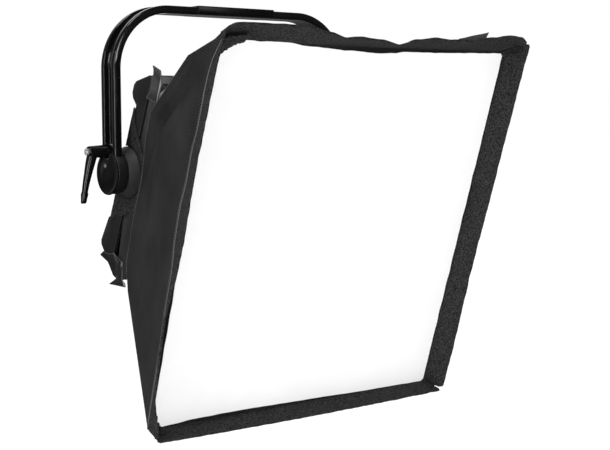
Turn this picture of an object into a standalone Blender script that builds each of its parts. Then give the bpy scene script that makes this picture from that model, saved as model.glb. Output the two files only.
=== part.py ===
"""Soft-panel lamp head with a fabric softbox, hanging in a U-shaped yoke.

Origin: centre of the mounting face on top of the yoke. +Z is up, the lamp looks
towards -Y, the clamp lever is on the -X arm. All lengths are in metres.

Two empties carry what tilts. "tilt_axis" lies on the pivot between the yoke's arms
and leans down by HEAD_TILT; "softbox_axis" sits on it and is lifted by SOFTBOX_LIFT,
because the softbox is only strapped on. In both, -Y runs along the light beam.
"""
import math

import bmesh
import bpy
from mathutils import Vector

# ---------------------------------------------------------------- driving dimensions
GAP = 0.0003                      # clearance between touching pieces

YOKE_HALF_WIDTH = 0.258           # to the outer faces of the arms
YOKE_RISE = 0.295                 # from the pivot to the top of the bar
YOKE_BEND = 0.114                 # outer radius of the two bends
CHANNEL_HALF_DEPTH = 0.024
CHANNEL_THICKNESS = 0.014
CHANNEL_WEB = 0.003
GROOVE_HALF_WIDTH = 0.013
ARM_BEND = math.radians(24.0)     # part of each bend that belongs to the arm
SLOT_HALF_WIDTH = 0.0085
SLOT_Z = (0.184, 0.218)           # above the pivot
SLEEVE_HALF_LENGTH = 0.084
SLEEVE_WALL = 0.002

PIVOT_DROP = YOKE_RISE + GAP + SLEEVE_WALL
HEAD_TILT = math.radians(24.5)
SOFTBOX_LIFT = math.radians(6.5)

HUB_RADIUS = 0.0375
HUB_CAP_THICKNESS = 0.004
DRUM_WIDTH = 0.018
AXLE_RADIUS = 0.009
WASHER_THICKNESS = 0.0018

LEVER_HEIGHT = 0.0393             # clamp stud above the pivot
STUD_RADIUS = 0.0045
COLLAR_RADIUS = 0.0118

HEAD_HALF_WIDTH = 0.218
HEAD_HALF_HEIGHT = 0.187
SIDE_PLATE = 0.003
HOUSING_FRONT = 0.008             # along the beam from the pivot
FRAME_FRONT = 0.060
FRAME_REAR = 0.014
FRAME_WALL = 0.010
BOSS_LENGTH = 0.0195
BOSS_BASE_RADIUS = 0.046
BOSS_TIP_RADIUS = 0.037

CLOTH_HALF_WIDTH = 0.306          # white front cloth
CLOTH_HALF_HEIGHT = 0.327
CLOTH_DISTANCE = 0.320
LIP_DEPTH = 0.045
LIP_HALF_WIDTH = 0.315            # free edge of the lip
LIP_TOP = 0.358
LIP_BOTTOM = -0.326
LIP_BOW = 0.009                   # side lips lean out and back at mid-height
FABRIC = 0.003                    # thickness of the soft solids
HEM_HALF_WIDTH = 0.2245
PANEL_BULGE = 0.008
ROD_RADIUS = 0.0025


# ---------------------------------------------------------------- scene and materials
def clear_scene():
    for old in list(bpy.data.objects):
        bpy.data.objects.remove(old, do_unlink=True)


def make_material(name, colour, roughness, metallic=0.0):
    material = bpy.data.materials.new(name)
    material.use_nodes = True
    shader = material.node_tree.nodes["Principled BSDF"]
    shader.inputs["Base Color"].default_value = (*colour, 1.0)
    shader.inputs["Roughness"].default_value = roughness
    shader.inputs["Metallic"].default_value = metallic
    material.diffuse_color = (*colour, 1.0)
    return material


def make_empty(name, location, tilt, parent=None):
    empty = bpy.data.objects.new(name, None)
    empty.location = location
    empty.rotation_euler = (tilt, 0.0, 0.0)
    empty.parent = parent
    bpy.context.scene.collection.objects.link(empty)
    return empty


def add_object(name, bm, material, parent=None, smooth=False, location=(0, 0, 0)):
    bmesh.ops.recalc_face_normals(bm, faces=bm.faces)
    mesh = bpy.data.meshes.new(name)
    bm.to_mesh(mesh)
    bm.free()
    if material:
        mesh.materials.append(material)
    if smooth:
        mesh.shade_smooth()
        mesh.set_sharp_from_angle(angle=math.radians(35))
    obj = bpy.data.objects.new(name, mesh)
    obj.location = location
    obj.parent = parent
    bpy.context.scene.collection.objects.link(obj)
    return obj


def combine(obj, name, bm, operation, parent=None):
    """Boolean of obj with the closed mesh bm, which stays in the scene as a wire shape."""
    shape = add_object(name, bm, None, parent)
    shape.hide_render = True
    shape.display_type = "WIRE"
    modifier = obj.modifiers.new(name, "BOOLEAN")
    modifier.operation = operation
    modifier.solver = "EXACT"
    modifier.object = shape


def cut(obj, name, bm, parent=None):
    combine(obj, name, bm, "DIFFERENCE", parent)


def join(obj, name, bm, parent=None):
    combine(obj, name, bm, "UNION", parent)


# ---------------------------------------------------------------- shape helpers
def skin_rings(rings, closed=False, bm=None):
    """Joins rings of points, each with the same count, into one closed body."""
    bm = bm or bmesh.new()
    loops = [[bm.verts.new(point) for point in ring] for ring in rings]
    count = len(loops[0])
    pairs = list(zip(loops, loops[1:]))
    if closed:
        pairs.append((loops[-1], loops[0]))
    for near, far in pairs:
        for i in range(count):
            j = (i + 1) % count
            bm.faces.new((near[i], near[j], far[j], far[i]))
    if not closed:
        bm.faces.new(loops[0])
        bm.faces.new(loops[-1])
    return bm


def box(low, high, bm=None):
    """A box between two corners."""
    x0, y0, z0 = low
    x1, y1, z1 = high
    rings = [[(x0, y0, z), (x1, y0, z), (x1, y1, z), (x0, y1, z)] for z in (z0, z1)]
    return skin_rings(rings, bm=bm)


def side_prism(outline, x0, x1, bm=None):
    """An outline of (along the beam, up) points, extruded along X."""
    rings = [[(x, -u, v) for u, v in outline] for x in (x0, x1)]
    return skin_rings(rings, bm=bm)


def circle(centre, radius, axis, segments, turn=0.0):
    points = []
    for i in range(segments):
        angle = turn + 2 * math.pi * i / segments
        a = radius * math.cos(angle)
        b = radius * math.sin(angle)
        offset = {"X": (0, a, b), "Y": (a, 0, b), "Z": (a, b, 0)}[axis]
        points.append(Vector(centre) + Vector(offset))
    return points


def turned(profile, centre, axis="X", segments=32, bore=False, bm=None):
    """A turned solid; profile lists (place along the axis, radius)."""
    direction = Vector({"X": (1, 0, 0), "Y": (0, 1, 0), "Z": (0, 0, 1)}[axis])
    centre = Vector(centre)
    rings = [circle(centre + direction * place, radius, axis, segments)
             for place, radius in profile]
    return skin_rings(rings, closed=bore, bm=bm)


def rod_along(points, radius, segments=8):
    """A round rod through the points, with flat ends."""
    rings = []
    for i, point in enumerate(points):
        before = points[max(i - 1, 0)]
        after = points[min(i + 1, len(points) - 1)]
        along = (after - before).normalized()
        side = along.cross(Vector((0, 0, 1))).normalized()
        up = side.cross(along)
        ring = []
        for k in range(segments):
            angle = 2 * math.pi * k / segments
            ring.append(point + side * radius * math.cos(angle) + up * radius * math.sin(angle))
        rings.append(ring)
    return skin_rings(rings)


def fabric_plate(surface, steps_s, steps_t, thickness, inward):
    """A closed soft solid below a surface(s, t), with s and t from 0 to 1."""
    bm = bmesh.new()
    outer = []
    inner = []
    for i in range(steps_s + 1):
        row = [Vector(surface(i / steps_s, j / steps_t)) for j in range(steps_t + 1)]
        outer.append([bm.verts.new(point) for point in row])
        inner.append([bm.verts.new(point + Vector(inward) * thickness) for point in row])
    for i in range(steps_s):
        for j in range(steps_t):
            for grid in (outer, inner):
                corners = (grid[i][j], grid[i + 1][j], grid[i + 1][j + 1], grid[i][j + 1])
                bm.faces.new(corners)
    for i in range(steps_s):
        for j in (0, steps_t):
            bm.faces.new((outer[i][j], outer[i + 1][j], inner[i + 1][j], inner[i][j]))
    for j in range(steps_t):
        for i in (0, steps_s):
            bm.faces.new((outer[i][j], outer[i][j + 1], inner[i][j + 1], inner[i][j]))
    return bm


def blend(a, b, t):
    return a + (b - a) * t


def polyline(stations, points, t):
    """The point at t on a line through points, reached at the given stations."""
    for k in range(len(stations) - 1):
        if t <= stations[k + 1]:
            share = (t - stations[k]) / (stations[k + 1] - stations[k])
            return tuple(blend(a, b, share) for a, b in zip(points[k], points[k + 1]))
    return points[-1]


# ---------------------------------------------------------------- yoke
def channel_section():
    """(across, inward) outline of the C-channel, open on its outer face."""
    half = CHANNEL_HALF_DEPTH
    floor = CHANNEL_THICKNESS - CHANNEL_WEB
    groove = GROOVE_HALF_WIDTH
    side = [(half, CHANNEL_THICKNESS), (half, 0.0026), (half - 0.0008, 0.0008),
            (half - 0.0026, 0.0), (groove + 0.0014, 0.0), (groove, 0.0012), (groove, floor)]
    return side + [(-across, inward) for across, inward in reversed(side)]


def channel_ring(side, drop, angle):
    """The section on one side of the yoke, drop below its bend or turned by angle into it."""
    centre = Vector((side * (YOKE_HALF_WIDTH - YOKE_BEND), 0.0,
                     YOKE_RISE - PIVOT_DROP - YOKE_BEND - drop))
    out = Vector((side * math.cos(angle), 0.0, math.sin(angle)))
    return [centre + Vector((0.0, across, 0.0)) + out * (YOKE_BEND - inward)
            for across, inward in channel_section()]


def make_yoke_arm(side, name, material):
    """Straight arm with the foot of its bend, slotted and seated on the drum."""
    steps = 4
    rings = [channel_ring(side, YOKE_RISE - YOKE_BEND, 0.0)]
    rings += [channel_ring(side, 0.0, ARM_BEND * i / steps) for i in range(steps + 1)]
    arm = add_object("yoke_arm_" + name, skin_rings(rings), material, smooth=True)
    outer = sorted((side * 0.23, side * 0.27))
    cut(arm, "slot_cutter_" + name,
        box((outer[0], -SLOT_HALF_WIDTH, SLOT_Z[0] - PIVOT_DROP),
            (outer[1], SLOT_HALF_WIDTH, SLOT_Z[1] - PIVOT_DROP)))
    seat = [(outer[0], HUB_RADIUS + GAP), (outer[1], HUB_RADIUS + GAP)]
    cut(arm, "drum_cutter_" + name, turned(seat, (0, 0, -PIVOT_DROP), segments=48))
    return arm


def make_yoke_bar(material):
    """The top bar with the rest of both bends."""
    steps = 9
    start = ARM_BEND + GAP / (YOKE_BEND - CHANNEL_THICKNESS)
    turns = [blend(start, math.pi / 2, i / steps) for i in range(steps + 1)]
    rings = [channel_ring(-1, 0.0, angle) for angle in turns]
    rings += [channel_ring(1, 0.0, angle) for angle in reversed(turns)]
    return add_object("yoke_bar", skin_rings(rings), material, smooth=True)


def make_yoke(material):
    arm = make_yoke_arm(-1, "left", material)
    make_yoke_arm(1, "right", material)
    make_yoke_bar(material)
    stud = turned([(-0.27, STUD_RADIUS + GAP), (-0.23, STUD_RADIUS + GAP)],
                  (0, 0, LEVER_HEIGHT - PIVOT_DROP), segments=24)
    cut(arm, "stud_hole_cutter", stud)


def make_top_sleeve(material):
    """Mounting sleeve: a folded plate over the top, front and back of the bar."""
    outer = CHANNEL_HALF_DEPTH + GAP + SLEEVE_WALL
    inner = CHANNEL_HALF_DEPTH + GAP
    foot = -SLEEVE_WALL - GAP - CHANNEL_THICKNESS
    edge = 0.0012
    outline = [(-outer, foot), (-outer, -edge), (-outer + edge, 0.0), (outer - edge, 0.0),
               (outer, -edge), (outer, foot), (inner, foot), (inner, -SLEEVE_WALL),
               (-inner, -SLEEVE_WALL), (-inner, foot)]
    rings = [[(x, y, z) for y, z in outline]
             for x in (-SLEEVE_HALF_LENGTH, SLEEVE_HALF_LENGTH)]
    return add_object("top_sleeve", skin_rings(rings), material)


def make_hub(side, name, drum_material, cap_material, steel):
    """Drum, cap, axle and brake washer at one end of the pivot; side is -1 or 1."""
    centre = (0, 0, -PIVOT_DROP)
    outer = YOKE_HALF_WIDTH
    inner = outer - DRUM_WIDTH
    edge = 0.0015
    bore = AXLE_RADIUS + GAP
    drum_profile = [(inner, HUB_RADIUS - edge), (inner + edge, HUB_RADIUS), (outer, HUB_RADIUS),
                    (outer, bore), (inner, bore)]
    drum = add_object("hub_drum_" + name, turned([(side * x, r) for x, r in drum_profile], centre,
                                                 segments=40, bore=True), drum_material,
                      smooth=True)
    cap_in = outer + GAP
    cap_out = cap_in + HUB_CAP_THICKNESS
    cap_profile = [(cap_in, HUB_RADIUS), (cap_out - 0.0022, HUB_RADIUS),
                   (cap_out - 0.0007, HUB_RADIUS - 0.0009), (cap_out, HUB_RADIUS - 0.0026)]
    cap = add_object("hub_cap_" + name, turned([(side * x, r) for x, r in cap_profile], centre,
                                               segments=40), cap_material, smooth=True)
    axle_end = HEAD_HALF_WIDTH + 0.003
    axle_profile = [(axle_end, AXLE_RADIUS - 0.001), (axle_end + 0.001, AXLE_RADIUS),
                    (outer - GAP, AXLE_RADIUS)]
    add_object("tilt_axle_" + name, turned([(side * x, r) for x, r in axle_profile], centre,
                                           segments=24), steel, smooth=True)
    washer_out = inner - GAP
    washer_profile = [(washer_out, 0.030), (washer_out, bore),
                      (washer_out - WASHER_THICKNESS, bore), (washer_out - WASHER_THICKNESS, 0.030)]
    add_object("friction_washer_" + name, turned([(side * x, r) for x, r in washer_profile],
                                                 centre, segments=32, bore=True),
               steel, smooth=True)
    return drum, cap


def make_cap_screw(side, name, material):
    """Small screw near the top of a cap, standing 0.8 mm proud of it."""
    face = YOKE_HALF_WIDTH + 2 * GAP + HUB_CAP_THICKNESS
    profile = [(side * face, 0.0026), (side * (face + 0.0008), 0.0020)]
    bm = turned(profile, (0, 0.006, 0.0140 - PIVOT_DROP), segments=12)
    return add_object("hub_cap_screw_" + name, bm, material, smooth=True)


def make_lever(plastic, steel, chrome):
    """Ratchet clamp lever on the left arm: collar, insert, screw and handle."""
    axis_z = LEVER_HEIGHT - PIVOT_DROP
    centre = (0, 0, axis_z)
    groove_floor = YOKE_HALF_WIDTH - CHANNEL_THICKNESS + CHANNEL_WEB
    collar_in = groove_floor + GAP
    collar_out = 0.2537
    collar = [(collar_in, COLLAR_RADIUS), (collar_out - 0.0012, COLLAR_RADIUS),
              (collar_out, COLLAR_RADIUS - 0.0012), (collar_out, STUD_RADIUS + GAP),
              (collar_in, STUD_RADIUS + GAP)]
    add_object("lever_collar", turned([(-x, r) for x, r in collar], centre, segments=28,
                                      bore=True), steel, smooth=True)
    insert_start = collar_out + GAP
    insert = [(0.2415, STUD_RADIUS), (insert_start, STUD_RADIUS), (insert_start, 0.0072),
              (insert_start + 0.020, 0.0072)]
    add_object("lever_insert", turned([(-x, r) for x, r in insert], centre, segments=24),
               steel, smooth=True)
    screw_start = insert_start + 0.020 + GAP
    head_start = 0.2972
    screw = [(screw_start, 0.0024), (head_start, 0.0024), (head_start, 0.0056),
             (head_start + 0.0048, 0.0060), (head_start + 0.0060, 0.0050)]
    screw_bm = turned([(-x, r) for x, r in screw], centre, segments=24)
    add_object("lever_screw", screw_bm, chrome, smooth=True)

    # the barrel lies along the stud, the grip hangs from its outer end
    barrel = [(insert_start + 0.0002, 0.0110), (insert_start + 0.004, 0.0121),
              (insert_start + 0.012, 0.0116), (0.282, 0.0106), (0.292, 0.0100), (0.2985, 0.0088),
              (0.2985, 0.0064), (0.2868, 0.0064), (0.2868, 0.0030), (0.2756, 0.0030),
              (0.2756, 0.0076), (insert_start + 0.0002, 0.0076)]
    handle = add_object("lever_handle", turned([(-x, r) for x, r in barrel], centre,
                                               segments=24, bore=True), plastic, smooth=True)
    # (down from the stud, outward, half width, half depth)
    stations = [(0.0072, 0.2905, 0.0072, 0.0078), (0.022, 0.2945, 0.0068, 0.0066),
                (0.050, 0.3015, 0.0052, 0.0054), (0.070, 0.3060, 0.0044, 0.0048),
                (0.074, 0.3066, 0.0052, 0.0050), (0.078, 0.3072, 0.0047, 0.0047),
                (0.088, 0.3086, 0.0042, 0.0040), (0.0895, 0.3088, 0.0034, 0.0032)]
    rings = []
    for down, out, half_x, half_y in stations:
        ring = []
        for k in range(8):
            angle = math.pi / 4 * k + math.pi / 8
            corner = 1.10
            x = max(-1.0, min(1.0, corner * math.cos(angle))) * half_x
            y = max(-1.0, min(1.0, corner * math.sin(angle))) * half_y
            ring.append((-out + x, y, axis_z - down))
        rings.append(ring)
    join(handle, "lever_grip_shape", skin_rings(rings))
    clearance = turned([(-0.2868, 0.0064), (-0.31, 0.0064)], centre, segments=24)
    cut(handle, "screw_mouth_cutter", clearance)
    socket = turned([(-0.2530, 0.0076), (-0.2756, 0.0076)], centre, segments=24)
    cut(handle, "insert_socket_cutter", socket)
    return handle


# ---------------------------------------------------------------- lamp head
def housing_outline():
    """(along the beam, up) side outline of the rear housing, humped at both ends."""
    height = HEAD_HALF_HEIGHT
    return [(HOUSING_FRONT, height), (0.000, height - 0.001), (-0.038, 0.159),
            (-0.0435, 0.150), (-0.0435, 0.135), (-0.038, 0.127), (-0.023, 0.120),
            (-0.023, -0.098), (-0.034, -0.108), (-0.0430, -0.160), (-0.0395, -0.168),
            (-0.026, -0.175), (-0.003, -height), (HOUSING_FRONT, -height)]


def make_rear_housing(parent, material):
    """Cast shell, open towards the light box."""
    half = HEAD_HALF_WIDTH - SIDE_PLATE - GAP
    housing = add_object("rear_housing", side_prism(housing_outline(), -half, half), material,
                         parent)
    front = HOUSING_FRONT + 0.002
    hollow = [(front, 0.182), (0.002, 0.182), (-0.0350, 0.1570), (-0.0396, 0.1490),
              (-0.0396, 0.1370), (-0.0360, 0.1305), (-0.0192, 0.1240), (-0.0192, -0.1020),
              (-0.0310, -0.1110), (-0.0392, -0.1580), (-0.0366, -0.1655), (-0.0240, -0.1715),
              (-0.0040, -0.182), (front, -0.182)]
    cut(housing, "housing_hollow_cutter", side_prism(hollow, -half + 0.004, half - 0.004), parent)
    return housing


def make_side_plates(parent, material):
    """Flat plates with the housing's outline and a round lobe behind each boss."""
    rim = housing_outline()
    lobe = []
    for i in range(9):
        angle = math.radians(blend(62.0, -62.0, i / 8))
        lobe.append((-BOSS_BASE_RADIUS * math.cos(angle), BOSS_BASE_RADIUS * math.sin(angle)))
    outline = rim[1:7] + lobe + rim[7:13] + [(HOUSING_FRONT, -0.160), (HOUSING_FRONT, 0.182)]
    for name, side in (("left", -1), ("right", 1)):
        x0 = side * (HEAD_HALF_WIDTH - SIDE_PLATE)
        x1 = side * HEAD_HALF_WIDTH
        add_object("side_plate_" + name, side_prism(outline, x0, x1), material, parent)


def make_tilt_boss(side, name, parent, material):
    """Conical boss with a blind bore for the axle."""
    base = HEAD_HALF_WIDTH + GAP
    tip = base + BOSS_LENGTH - GAP
    bore = AXLE_RADIUS + GAP
    profile = [(base, BOSS_BASE_RADIUS), (base + 0.004, BOSS_BASE_RADIUS), (tip - 0.0012, BOSS_TIP_RADIUS),
               (tip, BOSS_TIP_RADIUS - 0.0012), (tip, bore), (base + 0.0022, bore)]
    bm = turned([(side * x, r) for x, r in profile], (0, 0, 0), segments=40)
    return add_object("tilt_boss_" + name, bm, material, parent, smooth=True)


def make_light_box(parent, material):
    """Open-fronted tray that holds the light engine."""
    half_x = HEAD_HALF_WIDTH - FRAME_WALL - GAP
    half_z = HEAD_HALF_HEIGHT - FRAME_WALL - GAP
    tray = add_object("light_box",
                      box((-half_x, -FRAME_FRONT + 0.004, -half_z),
                          (half_x, -HOUSING_FRONT - GAP, half_z)), material, parent)
    wall = 0.003
    cut(tray, "light_box_pocket_cutter",
        box((-half_x + wall, -FRAME_FRONT - 0.01, -half_z + wall),
            (half_x - wall, -HOUSING_FRONT - 0.004, half_z - wall)), parent)
    return tray


def make_front_frame(parent, material):
    """Rectangular frame round the front of the tray; its side walls step back below."""
    frame = add_object("front_frame",
                       box((-HEAD_HALF_WIDTH, -FRAME_FRONT, -HEAD_HALF_HEIGHT),
                           (HEAD_HALF_WIDTH, -FRAME_REAR, HEAD_HALF_HEIGHT)), material, parent)
    hole_x = HEAD_HALF_WIDTH - FRAME_WALL
    hole_z = HEAD_HALF_HEIGHT - FRAME_WALL
    cut(frame, "frame_hole_cutter",
        box((-hole_x, -FRAME_FRONT - 0.01, -hole_z), (hole_x, 0.01, hole_z)), parent)
    notch = [(FRAME_REAR - 0.004, -0.080), (FRAME_REAR, -0.090), (0.025, -0.158), (0.025, -0.170),
             (FRAME_REAR - 0.004, -0.170)]
    for name, side in (("left", -1), ("right", 1)):
        x0 = side * (hole_x - 0.002)
        x1 = side * (HEAD_HALF_WIDTH + 0.002)
        cut(frame, "frame_notch_cutter_" + name, side_prism(notch, x0, x1), parent)
    return frame


def make_corner_bracket(code, side, level, parent, material):
    """Folded sheet corner: a leg down the side, a leg over the edge and flared ears."""
    wall = HEAD_HALF_WIDTH + GAP
    roof = HEAD_HALF_HEIGHT + GAP
    sheet = 0.002
    # each station: (outward, up, along the beam) at the rear edge, then at the front edge
    if level > 0:
        side_leg = [((0, 0.1475, 0.0070), (0, 0.1515, 0.0410)),
                    ((0, 0.1620, 0.0140), (0, 0.1620, 0.0420)),
                    ((0, roof, 0.0105), (0, roof, 0.0430))]
        ear = [((0.0010, 0.1966, 0.0176), (0.0005, 0.1980, 0.0390)),
               ((0.0075, 0.2112, 0.0170), (0.0015, 0.2090, 0.0340))]
        roof_leg = [((0.1860, roof, 0.0140), (0.1860, roof, 0.0420)),
                    ((0.1760, roof + 0.0090, 0.0220), (0.1760, roof + 0.0090, 0.0260))]
    else:
        side_leg = [((0, 0.1590, 0.0110), (0, 0.1590, 0.0420)),
                    ((0, 0.1660, 0.0310), (0, 0.1700, 0.0440)),
                    ((0, roof, 0.0360), (0, roof, 0.0560))]
        ear = [((0.0010, 0.1970, 0.0380), (0.0005, 0.1900, 0.0690)),
               ((0.0075, 0.2130, 0.0290), (0.0015, 0.1950, 0.0730))]
        roof_leg = [((0.1860, roof, 0.0340), (0.1860, roof, 0.0540)),
                    ((0.1760, roof + 0.0090, 0.0420), (0.1760, roof + 0.0090, 0.0460))]

    def edge(index):
        inner = [(wall + out, up, u) for out, up, u in (s[index] for s in side_leg)]
        over = [(out, up, u) for out, up, u in (s[index] for s in roof_leg)]
        over_top = [(out - 0.0006, up + sheet, u) for out, up, u in reversed(over)]
        fold = side_leg[-1][index]
        outer_ear = [(wall + out, up, u) for out, up, u in (s[index] for s in ear)]
        back_ear = [(x + sheet, up - 0.0004, u) for x, up, u in reversed(outer_ear)]
        outer = [(x + sheet, up, u) for x, up, u in reversed(inner)]
        over_top[-1:] += [(wall, fold[1] + sheet, fold[2])]
        return inner + over + over_top + outer_ear + back_ear + outer

    rings = [[(side * x, -u, level * v) for x, v, u in edge(index)] for index in (0, 1)]
    bracket = add_object("corner_bracket_" + code, skin_rings(rings), material, parent)
    if level < 0:
        tail = [(-0.0240, -0.1740), (-0.0330, -0.1867), (-0.0030, -0.1845), (0.0040, -0.1870),
                (0.0245, -0.1976), (0.0400, -0.1970), (0.0380, -0.1873), (0.0330, -0.1680),
                (0.0130, -0.1600), (0.0090, -0.1600), (-0.0060, -0.1700)]
        x0 = side * wall
        x1 = side * (wall + 0.0019)
        join(bracket, "rear_ear_" + code, side_prism(tail, x0, x1), parent)
    return bracket


def make_heat_sink(parent, material):
    """Finned block in the recess between the housing's humps."""
    back = 0.023 + GAP
    base = back + 0.005
    tip = 0.056
    half = 0.165
    fins = 16
    fin = 0.0045
    pitch = (2 * half - fin) / (fins - 1)
    outline = [(-half, back), (-half, tip)]
    for i in range(fins):
        left = -half + i * pitch
        right = left + fin
        if i:
            outline += [(left, base), (left, tip)]
        outline.append((right, tip))
        if i < fins - 1:
            outline.append((right, base))
    outline.append((half, back))
    rings = [[(x, y, z) for x, y in outline] for z in (-0.092, 0.112)]
    return add_object("heat_sink", skin_rings(rings), material, parent)


def make_light_engine(parent, board, opal, steel):
    """LED board at the back of the tray, opal panel in front, bare clips on the frame."""
    half_x = HEAD_HALF_WIDTH - FRAME_WALL - GAP - 0.003 - 0.001
    half_z = HEAD_HALF_HEIGHT - FRAME_WALL - GAP - 0.003 - 0.001
    back = HOUSING_FRONT + 0.004 + GAP
    add_object("led_board", box((-half_x, -back - 0.0032, -half_z), (half_x, -back, half_z)),
               board, parent)
    add_object("opal_panel", box((-half_x, -0.053, -half_z), (half_x, -0.050, half_z)),
               opal, parent)
    outline = [(0.0445, 0.160), (0.0565, 0.160), (0.0565, 0.184), (0.0445, 0.172)]
    for name, side in (("left", -1), ("right", 1)):
        x0 = side * (HEAD_HALF_WIDTH + GAP)
        x1 = side * (HEAD_HALF_WIDTH + GAP + 0.0012)
        add_object("corner_clip_" + name, side_prism(outline, x0, x1), steel, parent)


def make_controls(parent, case, glass, plastic, steel):
    """Control panel on the lower hump of the housing with its knobs, buttons and sockets."""
    face = 0.050
    outline = [(-0.0352, -0.112), (-face, -0.112), (-face, -0.158), (-0.0432, -0.158)]
    panel = add_object("control_panel", side_prism(outline, -0.150, 0.150), case, parent)
    proud = face + GAP
    add_object("display_window", box((-0.062, proud, -0.147), (-0.010, proud + 0.0012, -0.121)),
               glass, parent)
    knob = [(proud, 0.0110), (proud + 0.010, 0.0104), (proud + 0.012, 0.0088)]
    for name, x in (("menu_knob", 0.022), ("dimmer_knob", 0.060)):
        bm = turned([(y - proud, r) for y, r in knob], (0, 0, 0), axis="Y", segments=20)
        add_object(name, bm, plastic, parent, smooth=True, location=(x, proud, -0.135))
    for i in range(3):
        x = 0.084 + 0.011 * i
        button = [(0.0, 0.0036), (0.0030, 0.0036), (0.0036, 0.0030)]
        bm = turned(button, (0, 0, 0), axis="Y", segments=14)
        add_object("button_%d" % (i + 1), bm, plastic, parent, smooth=True,
                   location=(x, proud + 0.0018, -0.135))
    inlet_x = -0.128
    inlet = add_object("power_inlet",
                       box((inlet_x - 0.015, proud, -0.147), (inlet_x + 0.015, proud + 0.010, -0.123)),
                       plastic, parent)
    cut(inlet, "inlet_cutter",
        box((inlet_x - 0.012, proud + 0.0015, -0.144), (inlet_x + 0.012, proud + 0.02, -0.126)),
        parent)
    for name, x in (("data_port_in", -0.100), ("data_port_out", -0.079)):
        ring = [(proud, 0.0092), (proud + 0.006, 0.0092), (proud + 0.006, 0.0076),
                (proud + 0.0012, 0.0076)]
        bm = turned(ring, (x, 0, -0.135), axis="Y", segments=20)
        add_object(name, bm, steel, parent, smooth=True)
    return panel


# ---------------------------------------------------------------- softbox
# Rear edge of each fabric side: (out from the middle, along the beam, up), named by
# where it lies. The upper corners are cut back further than the lower ones.
TOP_KINK = (0.288, 0.234, 0.280)
HEM_TOP = (HEM_HALF_WIDTH, 0.050, 0.131)
HEM_BOTTOM = (HEM_HALF_WIDTH, 0.046, -0.150)
LOW_CORNER = (0.2255, 0.068, -0.200)
ROOF_HEM = (0.190, 0.058, 0.196)
FLOOR_HEM = (0.190, 0.064, -0.197)
CLOTH_TOP = (CLOTH_HALF_WIDTH, CLOTH_DISTANCE, CLOTH_HALF_HEIGHT)
CLOTH_BOTTOM = (CLOTH_HALF_WIDTH, CLOTH_DISTANCE, -CLOTH_HALF_HEIGHT)


def make_side_panel(name, side, parent, material):
    """Left or right fabric side, bowed outward, from the hem to the cloth's edge."""
    inset = FABRIC + 2 * GAP

    def surface(s, t):
        rear = polyline((0.0, 0.12, 0.70, 1.0), (LOW_CORNER, HEM_BOTTOM, HEM_TOP, TOP_KINK), t)
        front = polyline((0.0, 1.0), (CLOTH_BOTTOM, CLOTH_TOP), t)
        x, u, v = (blend(a, b, s) for a, b in zip(rear, front))
        x += PANEL_BULGE * math.sin(math.pi * s) * math.sin(math.pi * t)
        v += -inset if t == 1.0 else 0.0
        v += inset if t == 0.0 else 0.0
        return (side * x, -u, v)

    bm = fabric_plate(surface, 4, 12, FABRIC, (-side, 0, 0))
    return add_object("panel_" + name, bm, material, parent)


def make_cross_panel(name, level, parent, material):
    """Top or bottom fabric side between the two kinks, bowed outward."""
    kink = TOP_KINK if level > 0 else LOW_CORNER
    hem = ROOF_HEM if level > 0 else FLOOR_HEM
    cloth = CLOTH_TOP if level > 0 else CLOTH_BOTTOM
    inset = FABRIC + 2 * GAP

    def mirror(point):
        return (-point[0], point[1], point[2])

    def surface(s, t):
        share = 0.15
        rear = polyline((0.0, share, 1.0 - share, 1.0),
                        (mirror(kink), mirror(hem), hem, kink), t)
        front = polyline((0.0, 1.0), (mirror(cloth), cloth), t)
        x, u, v = (blend(a, b, s) for a, b in zip(rear, front))
        x *= 1.0 - inset / abs(kink[0])
        v += level * PANEL_BULGE * math.sin(math.pi * s) * math.sin(math.pi * t)
        return (x, -u, v)

    bm = fabric_plate(surface, 4, 20, FABRIC, (0, 0, -level))
    return add_object("panel_" + name, bm, material, parent)


def lip_corners(name):
    """Rear and front edges of one lip: ((x, v) start, (x, v) end) at cloth and free edge."""
    w, h = CLOTH_HALF_WIDTH, CLOTH_HALF_HEIGHT
    free = LIP_HALF_WIDTH
    return {
        "left": (((-w, -h), (-w, h)), ((-free, LIP_BOTTOM), (-free, LIP_TOP))),
        "right": (((w, -h), (w, h)), ((free, LIP_BOTTOM), (free, LIP_TOP))),
        "top": (((-w, h), (w, h)), ((-free, LIP_TOP), (free, LIP_TOP))),
        "bottom": (((-w, -h), (w, -h)), ((-free, LIP_BOTTOM), (free, LIP_BOTTOM))),
    }[name]


def make_lip(name, inward, parent, material):
    """One side of the loop-tape lip that stands in front of the cloth."""
    (rear_a, rear_b), (front_a, front_b) = lip_corners(name)
    upright = name in ("left", "right")
    trim = FABRIC + 2 * GAP

    def surface(s, t):
        rear = [blend(a, b, t) for a, b in zip(rear_a, rear_b)]
        front = [blend(a, b, t) for a, b in zip(front_a, front_b)]
        x, v = (blend(a, b, s) for a, b in zip(rear, front))
        sag = s * math.sin(math.pi * t)
        if upright:
            x += math.copysign(LIP_BOW * sag, x)
        else:
            x *= 1.0 - trim / CLOTH_HALF_WIDTH
        u = CLOTH_DISTANCE + GAP * 2 + s * (LIP_DEPTH - GAP * 2) - (LIP_BOW * sag if upright else 0.0)
        return (x, -u, v)

    bm = fabric_plate(surface, 1, 8, FABRIC, inward)
    return add_object("lip_" + name, bm, material, parent)


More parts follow.
